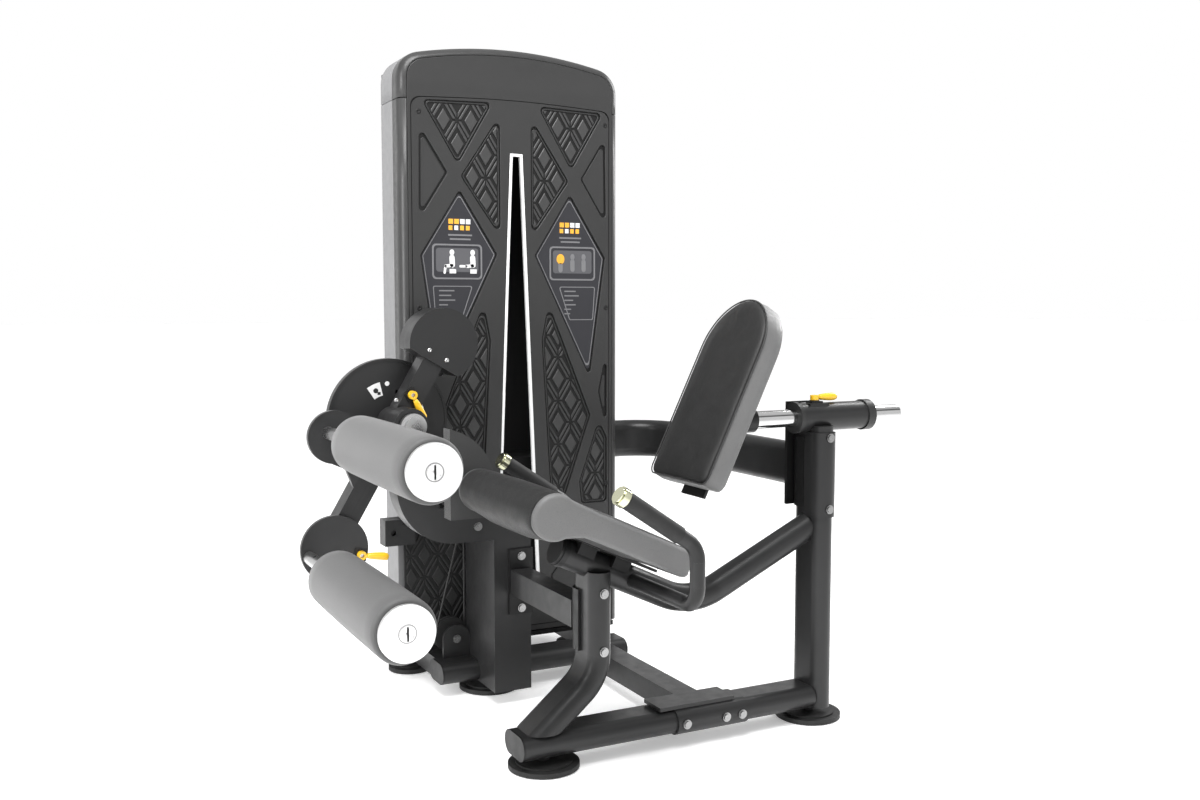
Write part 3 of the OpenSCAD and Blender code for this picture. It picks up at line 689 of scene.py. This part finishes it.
def plate(name, loops, y_front, y_back, bevel, mats, body="frame"):
    """A flat plate with holes: closed (x, z) loops, nested loops cut holes, edges bevelled."""
    cu = bpy.data.curves.new(name, "CURVE")
    cu.dimensions = "2D"
    cu.fill_mode = "BOTH"
    cu.extrude = (y_back - y_front) / 2 - bevel
    cu.bevel_depth = bevel
    cu.bevel_resolution = 2
    cu.offset = -bevel
    for loop in loops:
        sp = cu.splines.new("POLY")
        sp.points.add(len(loop) - 1)
        for p, (x, z) in zip(sp.points, loop):
            p.co = (x, z, 0, 1)
        sp.use_cyclic_u = True
    tmp = bpy.data.objects.new(name, cu)
    bpy.context.scene.collection.objects.link(tmp)
    dg = bpy.context.evaluated_depsgraph_get()
    me = bpy.data.meshes.new_from_object(tmp.evaluated_get(dg))
    bpy.data.objects.remove(tmp)
    upright = Matrix.Rotation(math.radians(90), 4, "X")
    me.transform(Matrix.Translation((0, (y_front + y_back) / 2, 0)) @ upright)
    me.materials.clear()
    return link(name, me, mats, body)


MIRROR_X = -0.0315


def mirrored(poly):
    """The loop mirrored about the tower front's centre line."""
    return [(2 * MIRROR_X - x, z) for x, z in poly]


PANELS = {
    "upper_lattice": ([(-.277, 1.431), (-.092, 1.436), (-.185, 1.280)], (-.220, 1.387)),
    "slot_lattice": ([(-.073, 1.408), (-.178, 1.253), (-.073, 1.106)], (-.1465, 1.252)),
    "low_lattice": ([(-.120, .945), (-.240, .652), (-.150, .400), (-.128, .400), (-.101, .850)],
                    (-.148, .862)),
    "corner_lattice": ([(-.264, .640), (-.288, .590), (-.288, .420), (-.213, .420), (-.207, .480)],
                       (-.255, .555)),
}
PLAIN = {
    "upper_recess": [(-.283, 1.372), (-.286, 1.143), (-.211, 1.260)],
    "middle_recess": [(-.288, .835), (-.288, .600), (-.262, .712)],
}
PLACARD_LOOP = [(-.181, 1.221), (-.082, 1.064), (-.238, .748), (-.283, 1.060)]


def field_line(inset):
    """The field's outline: rounded rectangle with a slightly arched top."""
    x0, x1, z0 = -.305 + inset, .232 - inset, .112 + inset
    pts = [(x0, 1.412 - inset)]
    r = 0.024
    for k in range(6):
        a = math.pi - math.pi / 2 * k / 5
        pts.append((x0 + r + r * math.cos(a), 1.414 - inset + r * math.sin(a)))
    for k in range(1, 16):
        f = k / 16
        pts.append((x0 + r + (x1 - x0 - 2 * r) * f, 1.438 - inset + .008 * math.sin(math.pi * f)))
    for k in range(6):
        a = math.pi / 2 - math.pi / 2 * k / 5
        pts.append((x1 - r + r * math.cos(a), 1.414 - inset + r * math.sin(a)))
    pts.append((x1, 1.412 - inset))
    return pts + [(x1, z0), (x0, z0)]


def notch(loop, x, z):
    """Cuts the lower left corner (left of x, below z) from a loop that ends at it."""
    x0 = min(p[0] for p in loop)
    z0 = min(p[1] for p in loop)
    return [p for p in loop if not (p[0] < x0 + 1e-6 and p[1] <= z0 + 1e-6)] + [(x, z0), (x, z), (x0, z)]


def slot_loop(grow):
    """The V slot, grown outwards."""
    return [(SLOT_X - .010 - grow, 1.308 + grow), (SLOT_X + .010 + grow, 1.308 + grow),
            (SLOT_X + .053 + grow, .250 - grow), (SLOT_X - .053 - grow, .250 - grow)]


def lattice(bm, region, origin, y_back, y_front):
    """Raised diamonds, each in a broken diamond ring, clipped to a convex region."""
    region = ccw(region)
    hx, hz = .0355, .0565
    xs, zs = [p[0] for p in region], [p[1] for p in region]
    i0, i1 = int((min(xs) - origin[0]) / hx) - 2, int((max(xs) - origin[0]) / hx) + 2
    j0, j1 = int((min(zs) - origin[1]) / hz) - 2, int((max(zs) - origin[1]) / hz) + 2
    for i in range(i0, i1 + 1):
        for j in range(j0, j1 + 1):
            if (i + j) % 2:
                continue
            cx, cz = origin[0] + i * hx, origin[1] + j * hz
            core = clip_to([(cx + hx * .46, cz), (cx, cz + hz * .46), (cx - hx * .46, cz),
                            (cx, cz - hz * .46)], region)
            if core and poly_area(core) > 4e-5:
                prism(bm, core, y_back, y_front, .0012)
            for sx in (-1, 1):
                for sz in (-1, 1):
                    bar = [(cx + sx * hx * .05, cz + sz * hz * .88), (cx + sx * hx * .88, cz + sz * hz * .05),
                           (cx + sx * hx * .70, cz + sz * hz * .05), (cx + sx * hx * .05, cz + sz * hz * .70)]
                    bar = clip_to(ccw(bar), region)
                    if bar and poly_area(bar) > 3e-5:
                        prism(bm, ccw(bar), y_back, y_front + .0006, .0009)


def poly_area(p):
    """Area of an (x, z) loop."""
    n = len(p)
    return abs(sum(p[i][0] * p[(i + 1) % n][1] - p[(i + 1) % n][0] * p[i][1] for i in range(n))) / 2


def shroud():
    """Cap, shroud halves, field, recesses, lattice and slot trim."""
    shell = [MATS["shroud_plastic"]]
    profile = [(0.0, .368), (0.0, .336), (.0012, .3290), (.0045, .3220), (.0095, .3165),
               (.0150, .3135), (.0175, .3128), (.0190, .3136), (.0192, .3165)]
    full = len(tower_line(0))
    lo = 5
    cap = strip_loft("shroud_cap_shell",
                     [([(x, max(z, CAP_Z)) for x, z in tower_line(s)[lo - 1:full - lo + 1]], y)
                      for s, y in profile], shell)
    side = strip_loft("shroud_cap_side",
                      [([(x, max(z, CAP_Z)) for x, z in tower_line(s)[lo - 1:full - lo + 1]], y)
                       for s, y in ((0, .458), (0, .4565), (0, .3695), (.0008, .3685))],
                      [MATS["column_paint"]])
    rear_pts = [(x, max(z, CAP_Z)) for x, z in tower_line(.010)[lo - 1:full - lo + 1]]
    rear_pts = [(min(max(x, TOWER_X0 + .045), TOWER_X1 - .045), z) for x, z in rear_pts]
    rear = strip_loft("shroud_cap_rear", [(rear_pts, y) for y in (.598, .597, .459, .458)],
                      [MATS["cover_paint"]], smooth=False)
    bm = bmesh.new()
    back = [(TOWER_X0 + .046, CAP_Z)] + rear_pts[1:-1] + [(TOWER_X1 - .046, CAP_Z)]
    prism(bm, [p for k, p in enumerate(back) if k == 0 or p != back[k - 1]], .5975, .594, .0005)
    mesh_of(bm, "shroud_cap_back", [MATS["cover_paint"]])
    bm = bmesh.new()
    prism(bm, tower_line(.002)[lo - 1:full - lo + 1], .4575, .4545, .0005)
    mesh_of(bm, "shroud_cap_web", [MATS["cover_paint"]])
    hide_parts("shroud_cap")
    left = strip_loft("shroud_left_shell",
                      [([(x, min(z, SHROUD_TOP)) for x, z in tower_line(s, BAY_Z)[:lo]], y)
                       for s, y in profile],
                      shell)
    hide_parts("shroud_left")
    right = strip_loft("shroud_right_shell",
                       [([(x, min(z, SHROUD_TOP)) for x, z in tower_line(s)[-lo:]], y) for s, y in profile],
                       shell)
    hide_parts("shroud_right")
    for ob in (cap, left, right, side, rear):
        sol = ob.modifiers.new("wall", "SOLIDIFY")
        sol.thickness = 0.004
        sol.offset = -1
        bake(ob)
    # closing plate behind the recesses, the border round the field and the field itself
    whole = notch_line(tower_line(.0185))
    # the closing plate is near black: painted shade on the recess floors and in the gap round the field
    plate("shroud_backing", [whole, slot_loop(.001)], FRONT_Y, FRONT_Y + .004, .0004, [RECESS_PAINTED_SHADE])
    for k, poly in enumerate(PLAIN.values()):
        for tag, q in (("left", poly), ("right", mirrored(poly))):
            plate(f"shroud_recess_{k}_{tag}", [rounded(inset_poly(ccw(q), .0052), .006)], FRONT_Y - .0022,
                  FRONT_Y + .001, .0010, shell)
    for name, (poly, _) in PANELS.items():
        for tag, q in (("left", poly), ("right", mirrored(poly))):
            q = ccw(q)
            rim = [rounded(inset_poly(q, .0030), .009), rounded(inset_poly(q, .0060), .007)]
            plate(f"{name}_rim_{tag}", rim, FRONT_Y - .0030, FRONT_Y + .001, .0008, shell)
    border_hole = notch(field_line(0), BAY_X + .002, BAY_Z + .002)
    plate("shroud_border", [notch_line(tower_line(.0200)), border_hole], FACE, FRONT_Y + .001, .0010,
          shell)
    holes = [slot_loop(.0065)]
    for poly, _ in PANELS.values():
        holes += [rounded(poly, .010), rounded(mirrored(poly), .010)]
    for poly in PLAIN.values():
        holes += [rounded(poly, .009), rounded(mirrored(poly), .009)]
    for poly in (PLACARD_LOOP, mirrored(PLACARD_LOOP)):
        holes.append(rounded(poly, .007))
    low = ccw([(.205, .392), (.224, .330), (.224, .140), (.085, .140), (.060, .240)])
    holes.append(rounded(low, .010))
    plate("shroud_recess_low", [rounded(inset_poly(low, .0052), .006)], FRONT_Y - .0022,
          FRONT_Y + .001, .0010, shell)
    field = notch(field_line(.0042), BAY_X + .004, BAY_Z + .006)
    plate("shroud_field", [field] + holes, FACE, FRONT_Y + .001, .0014, shell)
    bm = bmesh.new()
    for poly, origin in PANELS.values():
        lattice(bm, inset_poly(ccw(poly), .0085), origin, FRONT_Y + .001, FACE + .0018)
        lattice(bm, inset_poly(ccw(mirrored(poly)), .0085), (2 * MIRROR_X - origin[0], origin[1]),
                FRONT_Y + .001, FACE + .0022)
    mesh_of(bm, "shroud_lattice", shell)
    trim = plate("slot_trim_frame", [slot_loop(.0064), slot_loop(0)], FACE - .0012, FRONT_Y + .005, .0010,
                 [MATS["trim_white"]])
    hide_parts("slot_trim")


def notch_line(pts):
    """Closes a tower line, leaving out the bay at the lower left."""
    out = [p for p in pts if not (p[0] < -.2 and p[1] < BAY_Z)]
    x_left = min(p[0] for p in out)
    return [(x_left, BAY_Z)] + out + [(BAY_X, .100), (BAY_X, BAY_Z)]


def bolts(name, spots, r, height, mats, body="frame"):
    """Dome-head screws with a hex socket: (centre, outward axis) pairs."""
    bm = bmesh.new()
    n = 24
    for centre, axis in spots:
        axis = Vector(axis).normalized()
        u = axis.orthogonal().normalized()
        v = axis.cross(u)
        prof = [(r * .99, -height * .4), (r, height * .15), (r * .93, height * .55), (r * .74, height * .85),
                (r * .48, height), (r * .40, height), (r * .38, height * .35)]
        rings = []
        for pr, ph in prof:
            ring = []
            for k in range(n):
                a = 2 * math.pi * k / n
                rr = pr
                if ph < height and pr < r * .42:
                    s = (a % (math.pi / 3)) - math.pi / 6
                    rr = pr * .92 / math.cos(s)
                ring.append(tuple(Vector(centre) + axis * ph + (u * math.cos(a) + v * math.sin(a)) * rr))
            rings.append(ring)
        ring_loft(bm, rings)
    mesh_of(bm, name, mats, body, smooth=True)


# ---------- placards ----------
def decal(bm, poly, y, mat=0, thick=.0004):
    """A thin flush patch: convex (x, z) loop."""
    prism(bm, ccw(poly), y + thick, y, .0001, mat)


def rect(x0, z0, x1, z1):
    """A rectangle as an (x, z) loop."""
    return [(x0, z0), (x1, z0), (x1, z1), (x0, z1)]


def disc(cx, cz, rx, rz, n=16):
    """An ellipse as an (x, z) loop."""
    turn = [2 * math.pi * k / n for k in range(n)]
    return [(cx + rx * math.cos(a), cz + rz * math.sin(a)) for a in turn]


def capsule(a, b, r, k=6):
    """A round-ended bar between two (x, z) points."""
    d = (Vector(b) - Vector(a)).normalized()
    a0 = math.atan2(d.y, d.x)
    pts = [(b[0] + r * math.cos(a0 - math.pi / 2 + math.pi * i / k),
            b[1] + r * math.sin(a0 - math.pi / 2 + math.pi * i / k)) for i in range(k + 1)]
    return pts + [(a[0] + r * math.cos(a0 + math.pi / 2 + math.pi * i / k),
                   a[1] + r * math.sin(a0 + math.pi / 2 + math.pi * i / k)) for i in range(k + 1)]


def figure(bm, x, z, s, raised, y):
    """A generic seated figure made of plain bars."""
    decal(bm, disc(x, z + .052 * s, .0075 * s, .009 * s), y, 2)
    decal(bm, capsule((x, z + .036 * s), (x + .001, z + .014 * s), .0085 * s), y, 2)
    decal(bm, capsule((x, z + .012 * s), (x - .020 * s, z + .010 * s), .0050 * s), y, 2)
    shin = (x - .040 * s, z + .010 * s) if raised else (x - .024 * s, z - .010 * s)
    decal(bm, capsule((x - .021 * s, z + .010 * s), shin, .0038 * s), y, 2)
    decal(bm, rect(x - .008 * s, z - .012 * s, x + .013 * s, z + .001 * s), y, 2)


def placard(side):
    """Instruction placard with plain bars for text and generic pictures."""
    loop = PLACARD_LOOP if side < 0 else mirrored(PLACARD_LOOP)
    base_y = FRONT_Y - .0010
    plate(f"placard_{'left' if side < 0 else 'right'}", [rounded(inset_poly(ccw(loop), .0035), .006)],
          base_y, FRONT_Y + .0015, .0004, [PLACARD])
    rim_o = rounded(inset_poly(ccw(loop), .0060), .006)
    rim_i = rounded(inset_poly(ccw(loop), .0078), .006)
    bm = bmesh.new()
    frame_between(bm, rim_o, rim_i, base_y + .0004, base_y - .0009, 1)
    y = base_y - .0003
    cx = -.179 if side < 0 else .121
    # header chips
    for k in range(4):
        decal(bm, rect(cx - .030 + .0150 * k, 1.137, cx - .018 + .0150 * k, 1.149), y, 3 if k < 2 else 2)
        decal(bm, rect(cx - .030 + .0150 * k, 1.122, cx - .020 + .0150 * k, 1.133), y, 2 if k == 1 else 3)
    for k, w in enumerate((.031, .027)):
        decal(bm, rect(cx - w, 1.108 - .010 * k, cx + w, 1.112 - .010 * k), y, 1)
    # picture box
    bx = -.187 if side < 0 else .127
    box_o = rounded(rect(bx - .065, 1.002, bx + .065, 1.088), .010)
    box_i = rounded(rect(bx - .061, 1.006, bx + .061, 1.084), .008)
    frame_between(bm, box_o, box_i, base_y + .0004, base_y - .0009, 1)
    decal(bm, rounded(rect(bx - .055, 1.020, bx + .055, 1.078), .007), y + .0001, 4)
    if side < 0:
        figure(bm, bx - .014, 1.026, .80, False, y - .0004)
        figure(bm, bx + .040, 1.026, .80, True, y - .0004)
    else:
        decal(bm, disc(bx - .034, 1.056, .011, .013), y - .0004, 3)
        decal(bm, capsule((bx - .034, 1.040), (bx - .034, 1.028), .006), y - .0004, 1)
        for dx in (0, .032):
            decal(bm, disc(bx + dx, 1.062, .006, .008), y - .0004, 1)
            decal(bm, capsule((bx + dx, 1.050), (bx + dx, 1.030), .006), y - .0004, 1)
    # outlined box with bars in place of text
    tx = -.199 if side < 0 else .140
    quad_o = [(tx - .052, .986), (tx + .052, .986), (tx + .022, .900), (tx - .046, .900)]
    if side > 0:
        quad_o = [(2 * tx - x, z) for x, z in quad_o]
    quad_o = ccw(quad_o)
    frame_between(bm, rounded(quad_o, .005), rounded(inset_poly(quad_o, .0022), .0035),
                  base_y + .0004, base_y - .0007, 1)
    for k in range(6):
        z = .974 - .0115 * k
        w = RNG.uniform(.018, .034) - .002 * k
        decal(bm, rect(tx - .036, z - .0016, tx - .036 + w * 1.7, z + .0016), y, 1)
    mesh_of(bm, f"placard_graphic_{'left' if side < 0 else 'right'}",
            [PLACARD, GRAPHIC_DIM, GRAPHIC, AMBER, PANEL_DARK])


shroud()
placard(-1)
placard(1)
bolts("shroud_screws", [((x, FACE + .0005, z), (0, -1, 0)) for x, z in
                        ((-.284, 1.401), (.219, 1.401), (-.287, .932), (.222, .932), (.222, .470))],
      .0070, .0016, [HOLE])


# ---------- range disc labels, counterweight bolts and other small parts ----------
def arc_patch(bm, centre, r0, r1, a0, a1, y, mat, thick=.0006, steps=18):
    """A flat arc band in the plane of the disc; angles in degrees, counter-clockwise from +X."""
    outer, inner = [], []
    for k in range(steps + 1):
        a = math.radians(a0 + (a1 - a0) * k / steps)
        outer.append((centre.x + r1 * math.cos(a), centre.z + r1 * math.sin(a)))
        inner.append((centre.x + r0 * math.cos(a), centre.z + r0 * math.sin(a)))
    for k in range(steps):
        prism(bm, ccw([outer[k], outer[k + 1], inner[k + 1], inner[k]]), y + thick, y, .00005, mat)


def disc_marks():
    """Rim and window marks on the range disc."""
    y = .2530 - .0008
    bm = bmesh.new()
    arc_patch(bm, PIVOT, .1385, .1445, 0, 360, y - .0006, 1, .0022, 72)
    arc_patch(bm, PIVOT, .060, .092, 103, 124, y, 0)
    arc_patch(bm, PIVOT, .084, .0895, 0, 36, y, 0)
    c = (PIVOT.x - .0305, PIVOT.z + .0700)
    decal(bm, disc(*c, .0060, .0060), y - .0004, 1)
    decal(bm, rect(c[0] + .004, c[1] - .010, c[0] + .0115, c[1] - .003), y - .0004, 1)
    decal(bm, disc(PIVOT.x - .003, PIVOT.z + .086, .0055, .0055), y, 0)
    mesh_of(bm, "range_disc_marks", [GRAPHIC, MATS["frame_paint"]], "cam")


def bullet(name, foot, along, length, r, body):
    """A tapered moulded grip with a rounded tip, on the line from foot along a direction."""
    along = Vector(along).normalized()
    u = along.orthogonal().normalized()
    v = along.cross(u)
    prof = [(0, r * .55), (.002, r * .70), (.006, r * .78), (length * .35, r * .92), (length * .60, r),
            (length * .80, r * .98), (length * .92, r * .80), (length * .98, r * .45), (length, r * .12)]
    bm = bmesh.new()
    rings = [[Vector(foot) + along * h + (u * math.cos(a) + v * math.sin(a)) * q
              for a in (2 * math.pi * k / 28 for k in range(28))] for h, q in prof]
    ring_loft(bm, rings)
    mesh_of(bm, name, [MATS["yellow"]], body, smooth=True)


def cap_face(name, centre, body):
    """Roller end: dark parting ring, turned face ring and a slotted centre screw; the gap round the screw and
    its slot are painted shade in darker bolt metal.
    """
    y = -.5440
    bm = bmesh.new()
    prof = [(y + .0005, .0480), (y - .0006, .0475), (y - .0010, .0462), (y - .0006, .0448),
            (y + .0005, .0444)]
    rings = [[(centre.x + q * math.cos(a), h, centre.z + q * math.sin(a))
              for a in (2 * math.pi * k / 72 for k in range(72))] for h, q in prof]
    ring_loft(bm, rings, cap=False)
    n0 = len(bm.faces)
    prof = [(y + .0005, .0172), (y - .0003, .0170), (y - .0003, .0150), (y + .0005, .0148)]
    rings = [[(centre.x + q * math.cos(a), h, centre.z + q * math.sin(a))
              for a in (2 * math.pi * k / 48 for k in range(48))] for h, q in prof]
    ring_loft(bm, rings, cap=False)
    # the ring round the screw head is drawn in darker bolt metal: painted shade in the gap
    bm.faces.ensure_lookup_table()
    for f in bm.faces[n0:]:
        f.material_index = 1
    bmesh.ops.recalc_face_normals(bm, faces=bm.faces)
    # the slot is a dark patch in bolt metal standing on the face: painted shade of the slot
    slot = rect(centre.x - .0017, centre.z - .0125, centre.x + .0017, centre.z + .0125)
    # two copies in one place: their faces shade each other, and only that renders the slot dark
    for _ in range(2):
        decal(bm, slot, y - .0024, 1, .0008)
    mesh_of(bm, name, [MATS["aluminium"], BOLT_STEEL_AND_GAP_SHADE], body)


disc_marks()
cap_face("upper_cap_face", UPPER_AXIS, "lever")
cap_face("lower_cap_face", LOWER_AXIS, "crank")
frame["nodes"]["leg_guard"].data.materials[0] = GUARD
frame["nodes"]["frame_bolts"].data.materials[0] = BOLT_STEEL_AND_GAP_SHADE
frame["nodes"]["handle_caps"].data.materials[0] = KNURL
GRIP_BACK = .0124  # from the face that a latch stands on to its grip's centre line
GRIP_FACE = {"range_grip": .1648, "crank_grip": .1455}
CLAMP_FACE = .720
# the range grip is slimmer, to pass between the hook bracket and the index plate
GRIP_RADIUS = {"range_grip": .0080, "crank_grip": .0088, "clamp_grip": .0088}
for grip, radius in GRIP_RADIUS.items():
    node_name = grip.replace("_grip", "_lever")
    joint = next(j for j in frame["record"]["behaviour"]["joints"] if j["child"] == grip)
    pin = Vector(joint["pos_m"])
    out = Vector((0, -1, 0)) if grip != "clamp_grip" else Vector((0, 0, 1))
    lo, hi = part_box(node_name)
    mid = (lo + hi) / 2
    along = (mid - pin) - out * (mid - pin).dot(out)
    along.normalize()
    if grip in GRIP_FACE:
        base = Vector((pin.x, GRIP_FACE[grip] - GRIP_BACK, pin.z))
    else:
        base = Vector((pin.x, pin.y, CLAMP_FACE + GRIP_BACK))
    bullet(grip + "_bullet", base + along * .012, along, .0505, radius, grip)

bay_box = rect(-.3235, .1000, -.1500, .4000)
plate("bay_panel", [bay_box], .3440, .3480, .0008, [MATS["stack_iron"]])
bm = bmesh.new()
lattice(bm, [(-.318, .106), (-.156, .106), (-.156, .394), (-.318, .394)], (-.236, .262), .3445, .3395)
mesh_of(bm, "bay_relief", [MATS["rubber"]])
# counterweight bolts and disc cover screws
face_y = .158
spots = [(arm_point(x, face_y, .209 - .030), (0, -1, 0)) for x in (-.024, .024)]
bolts("counterweight_bolts", spots, .0055, .0035, [MATS["steel"]], "lever")
bolts("index_plate_bolts", [(arm_point(.055 * math.cos(a), .1575, .055 * math.sin(a)), (0, -1, 0))
                            for a in (0.2, 2.3, 4.4)], .005, .003, [MATS["steel"]], "lever")

# ---------- softened edges on the carried-over CAD parts ----------
SOFT = {"base_beams": 2.5, "tower_post": 3, "cross_rails": 2.5, "hook_bracket": 3, "leg_guard": 6,
        "counterweight": 3, "crank_disc": 1.5, "range_disc": 2, "index_plate": 1.2, "lobe_plate": 2,
        "foot_discs": 3, "seat_plate": 1.5, "side_columns": 2, "rear_cover": 3, "tower_base": 2,
        "rear_bearing": 2, "upper_cap": 2, "lower_cap": 2, "handle_caps": 1.5, "rest_stack": 1.2,
        "lift_stack": 1.2, "frame_bolts": .8, "saddle_plates": 1.2, "end_caps": 2, "handle_grips": 1.2,
        "arm_tube": 4, "pulley_brackets": 1, "back_bracket": 1.2, "cross_tube": 1, "sleeve_bushes": 1.5,
        "carriage_sleeve": 1, "joint_sleeves": 1.5, "range_lever": .8, "crank_lever": .8, "clamp_lever": .8,
        "axle": 1, "cam_wheel": 1, "selector_pin": .8, "seat_tube": 1, "seat_posts": 1}
for node_name, width in SOFT.items():
    node = frame["nodes"][node_name]
    bev = node.modifiers.new("soft_edges", "BEVEL")
    bev.width = width * MM
    bev.segments = 3
    bev.limit_method = "ANGLE"
    bev.angle_limit = math.radians(50)
    bev.use_clamp_overlap = True
    bev.harden_normals = True
    bev.miter_outer = "MITER_ARC"

# ---------- floor, light and camera ----------
bpy.ops.mesh.primitive_plane_add(size=120, location=(0, 0, 0))
floor = bpy.context.object
floor.name = "floor"
m, t, b = new_mat("floor_white")
b.inputs["Roughness"].default_value = 0.7
b.inputs["Specular IOR Level"].default_value = 0.1
t.links.new(mix_col(t, noise(t, coords(t), 3, 2), (.93, .93, .93), (.95, .95, .95)), b.inputs["Base Color"])
b.inputs["Emission Color"].default_value = (1, 1, 1, 1)
b.inputs["Emission Strength"].default_value = 0.32
floor.data.materials.append(m)

world = bpy.data.worlds.new("studio")
bpy.context.scene.world = world
world.use_nodes = True
wt = world.node_tree
wc = wt.nodes.new("ShaderNodeTexCoord")
sep = wt.nodes.new("ShaderNodeSeparateXYZ")
wt.links.new(wc.outputs["Generated"], sep.inputs[0])
sky = wt.nodes.new("ShaderNodeValToRGB")
el = sky.color_ramp.elements
el[0].position, el[0].color = 0.0, (1, 1, 1, 1)
el[1].position, el[1].color = 1.0, (1, 1, 1, 1)
for pos, v in ((.42, 1.0), (.50, .25), (.60, .12), (.70, .75)):
    e = el.new(pos)
    e.color = (v, v, v, 1)
wt.links.new(sep.outputs["Z"], sky.inputs[0])
wt.links.new(sky.outputs[0], wt.nodes["Background"].inputs[0])
wt.nodes["Background"].inputs[1].default_value = 1.0


def softbox(name, loc, target, size, power):
    """A rectangular area light aimed at a point."""
    li = bpy.data.lights.new(name, "AREA")
    li.shape = "RECTANGLE"
    li.size, li.size_y = size
    li.energy = power
    ob = bpy.data.objects.new(name, li)
    bpy.context.scene.collection.objects.link(ob)
    ob.location = loc
    ob.rotation_euler = (Vector(target) - Vector(loc)).to_track_quat("-Z", "Y").to_euler()


softbox("key_top", (-0.9, -1.2, 3.4), (0, 0, .6), (2.2, 1.6), 150)
softbox("side_left", (-3.4, -0.6, 1.6), (-.2, 0, .7), (1.0, 2.2), 85)
softbox("rim_right", (2.8, 0.6, 2.2), (.2, 0, .7), (0.8, 2.0), 60)

cam = bpy.data.objects.new("camera", bpy.data.cameras.new("camera"))
bpy.context.scene.collection.objects.link(cam)
cam.data.sensor_width = 36
cam.data.lens = 35.78
cam.location = (-1.225, -2.462, 0.940)
cam.rotation_euler = (math.radians(85.427), 0, math.radians(-27.262))
bpy.context.scene.camera = cam
bpy.context.scene.view_settings.view_transform = "Standard"
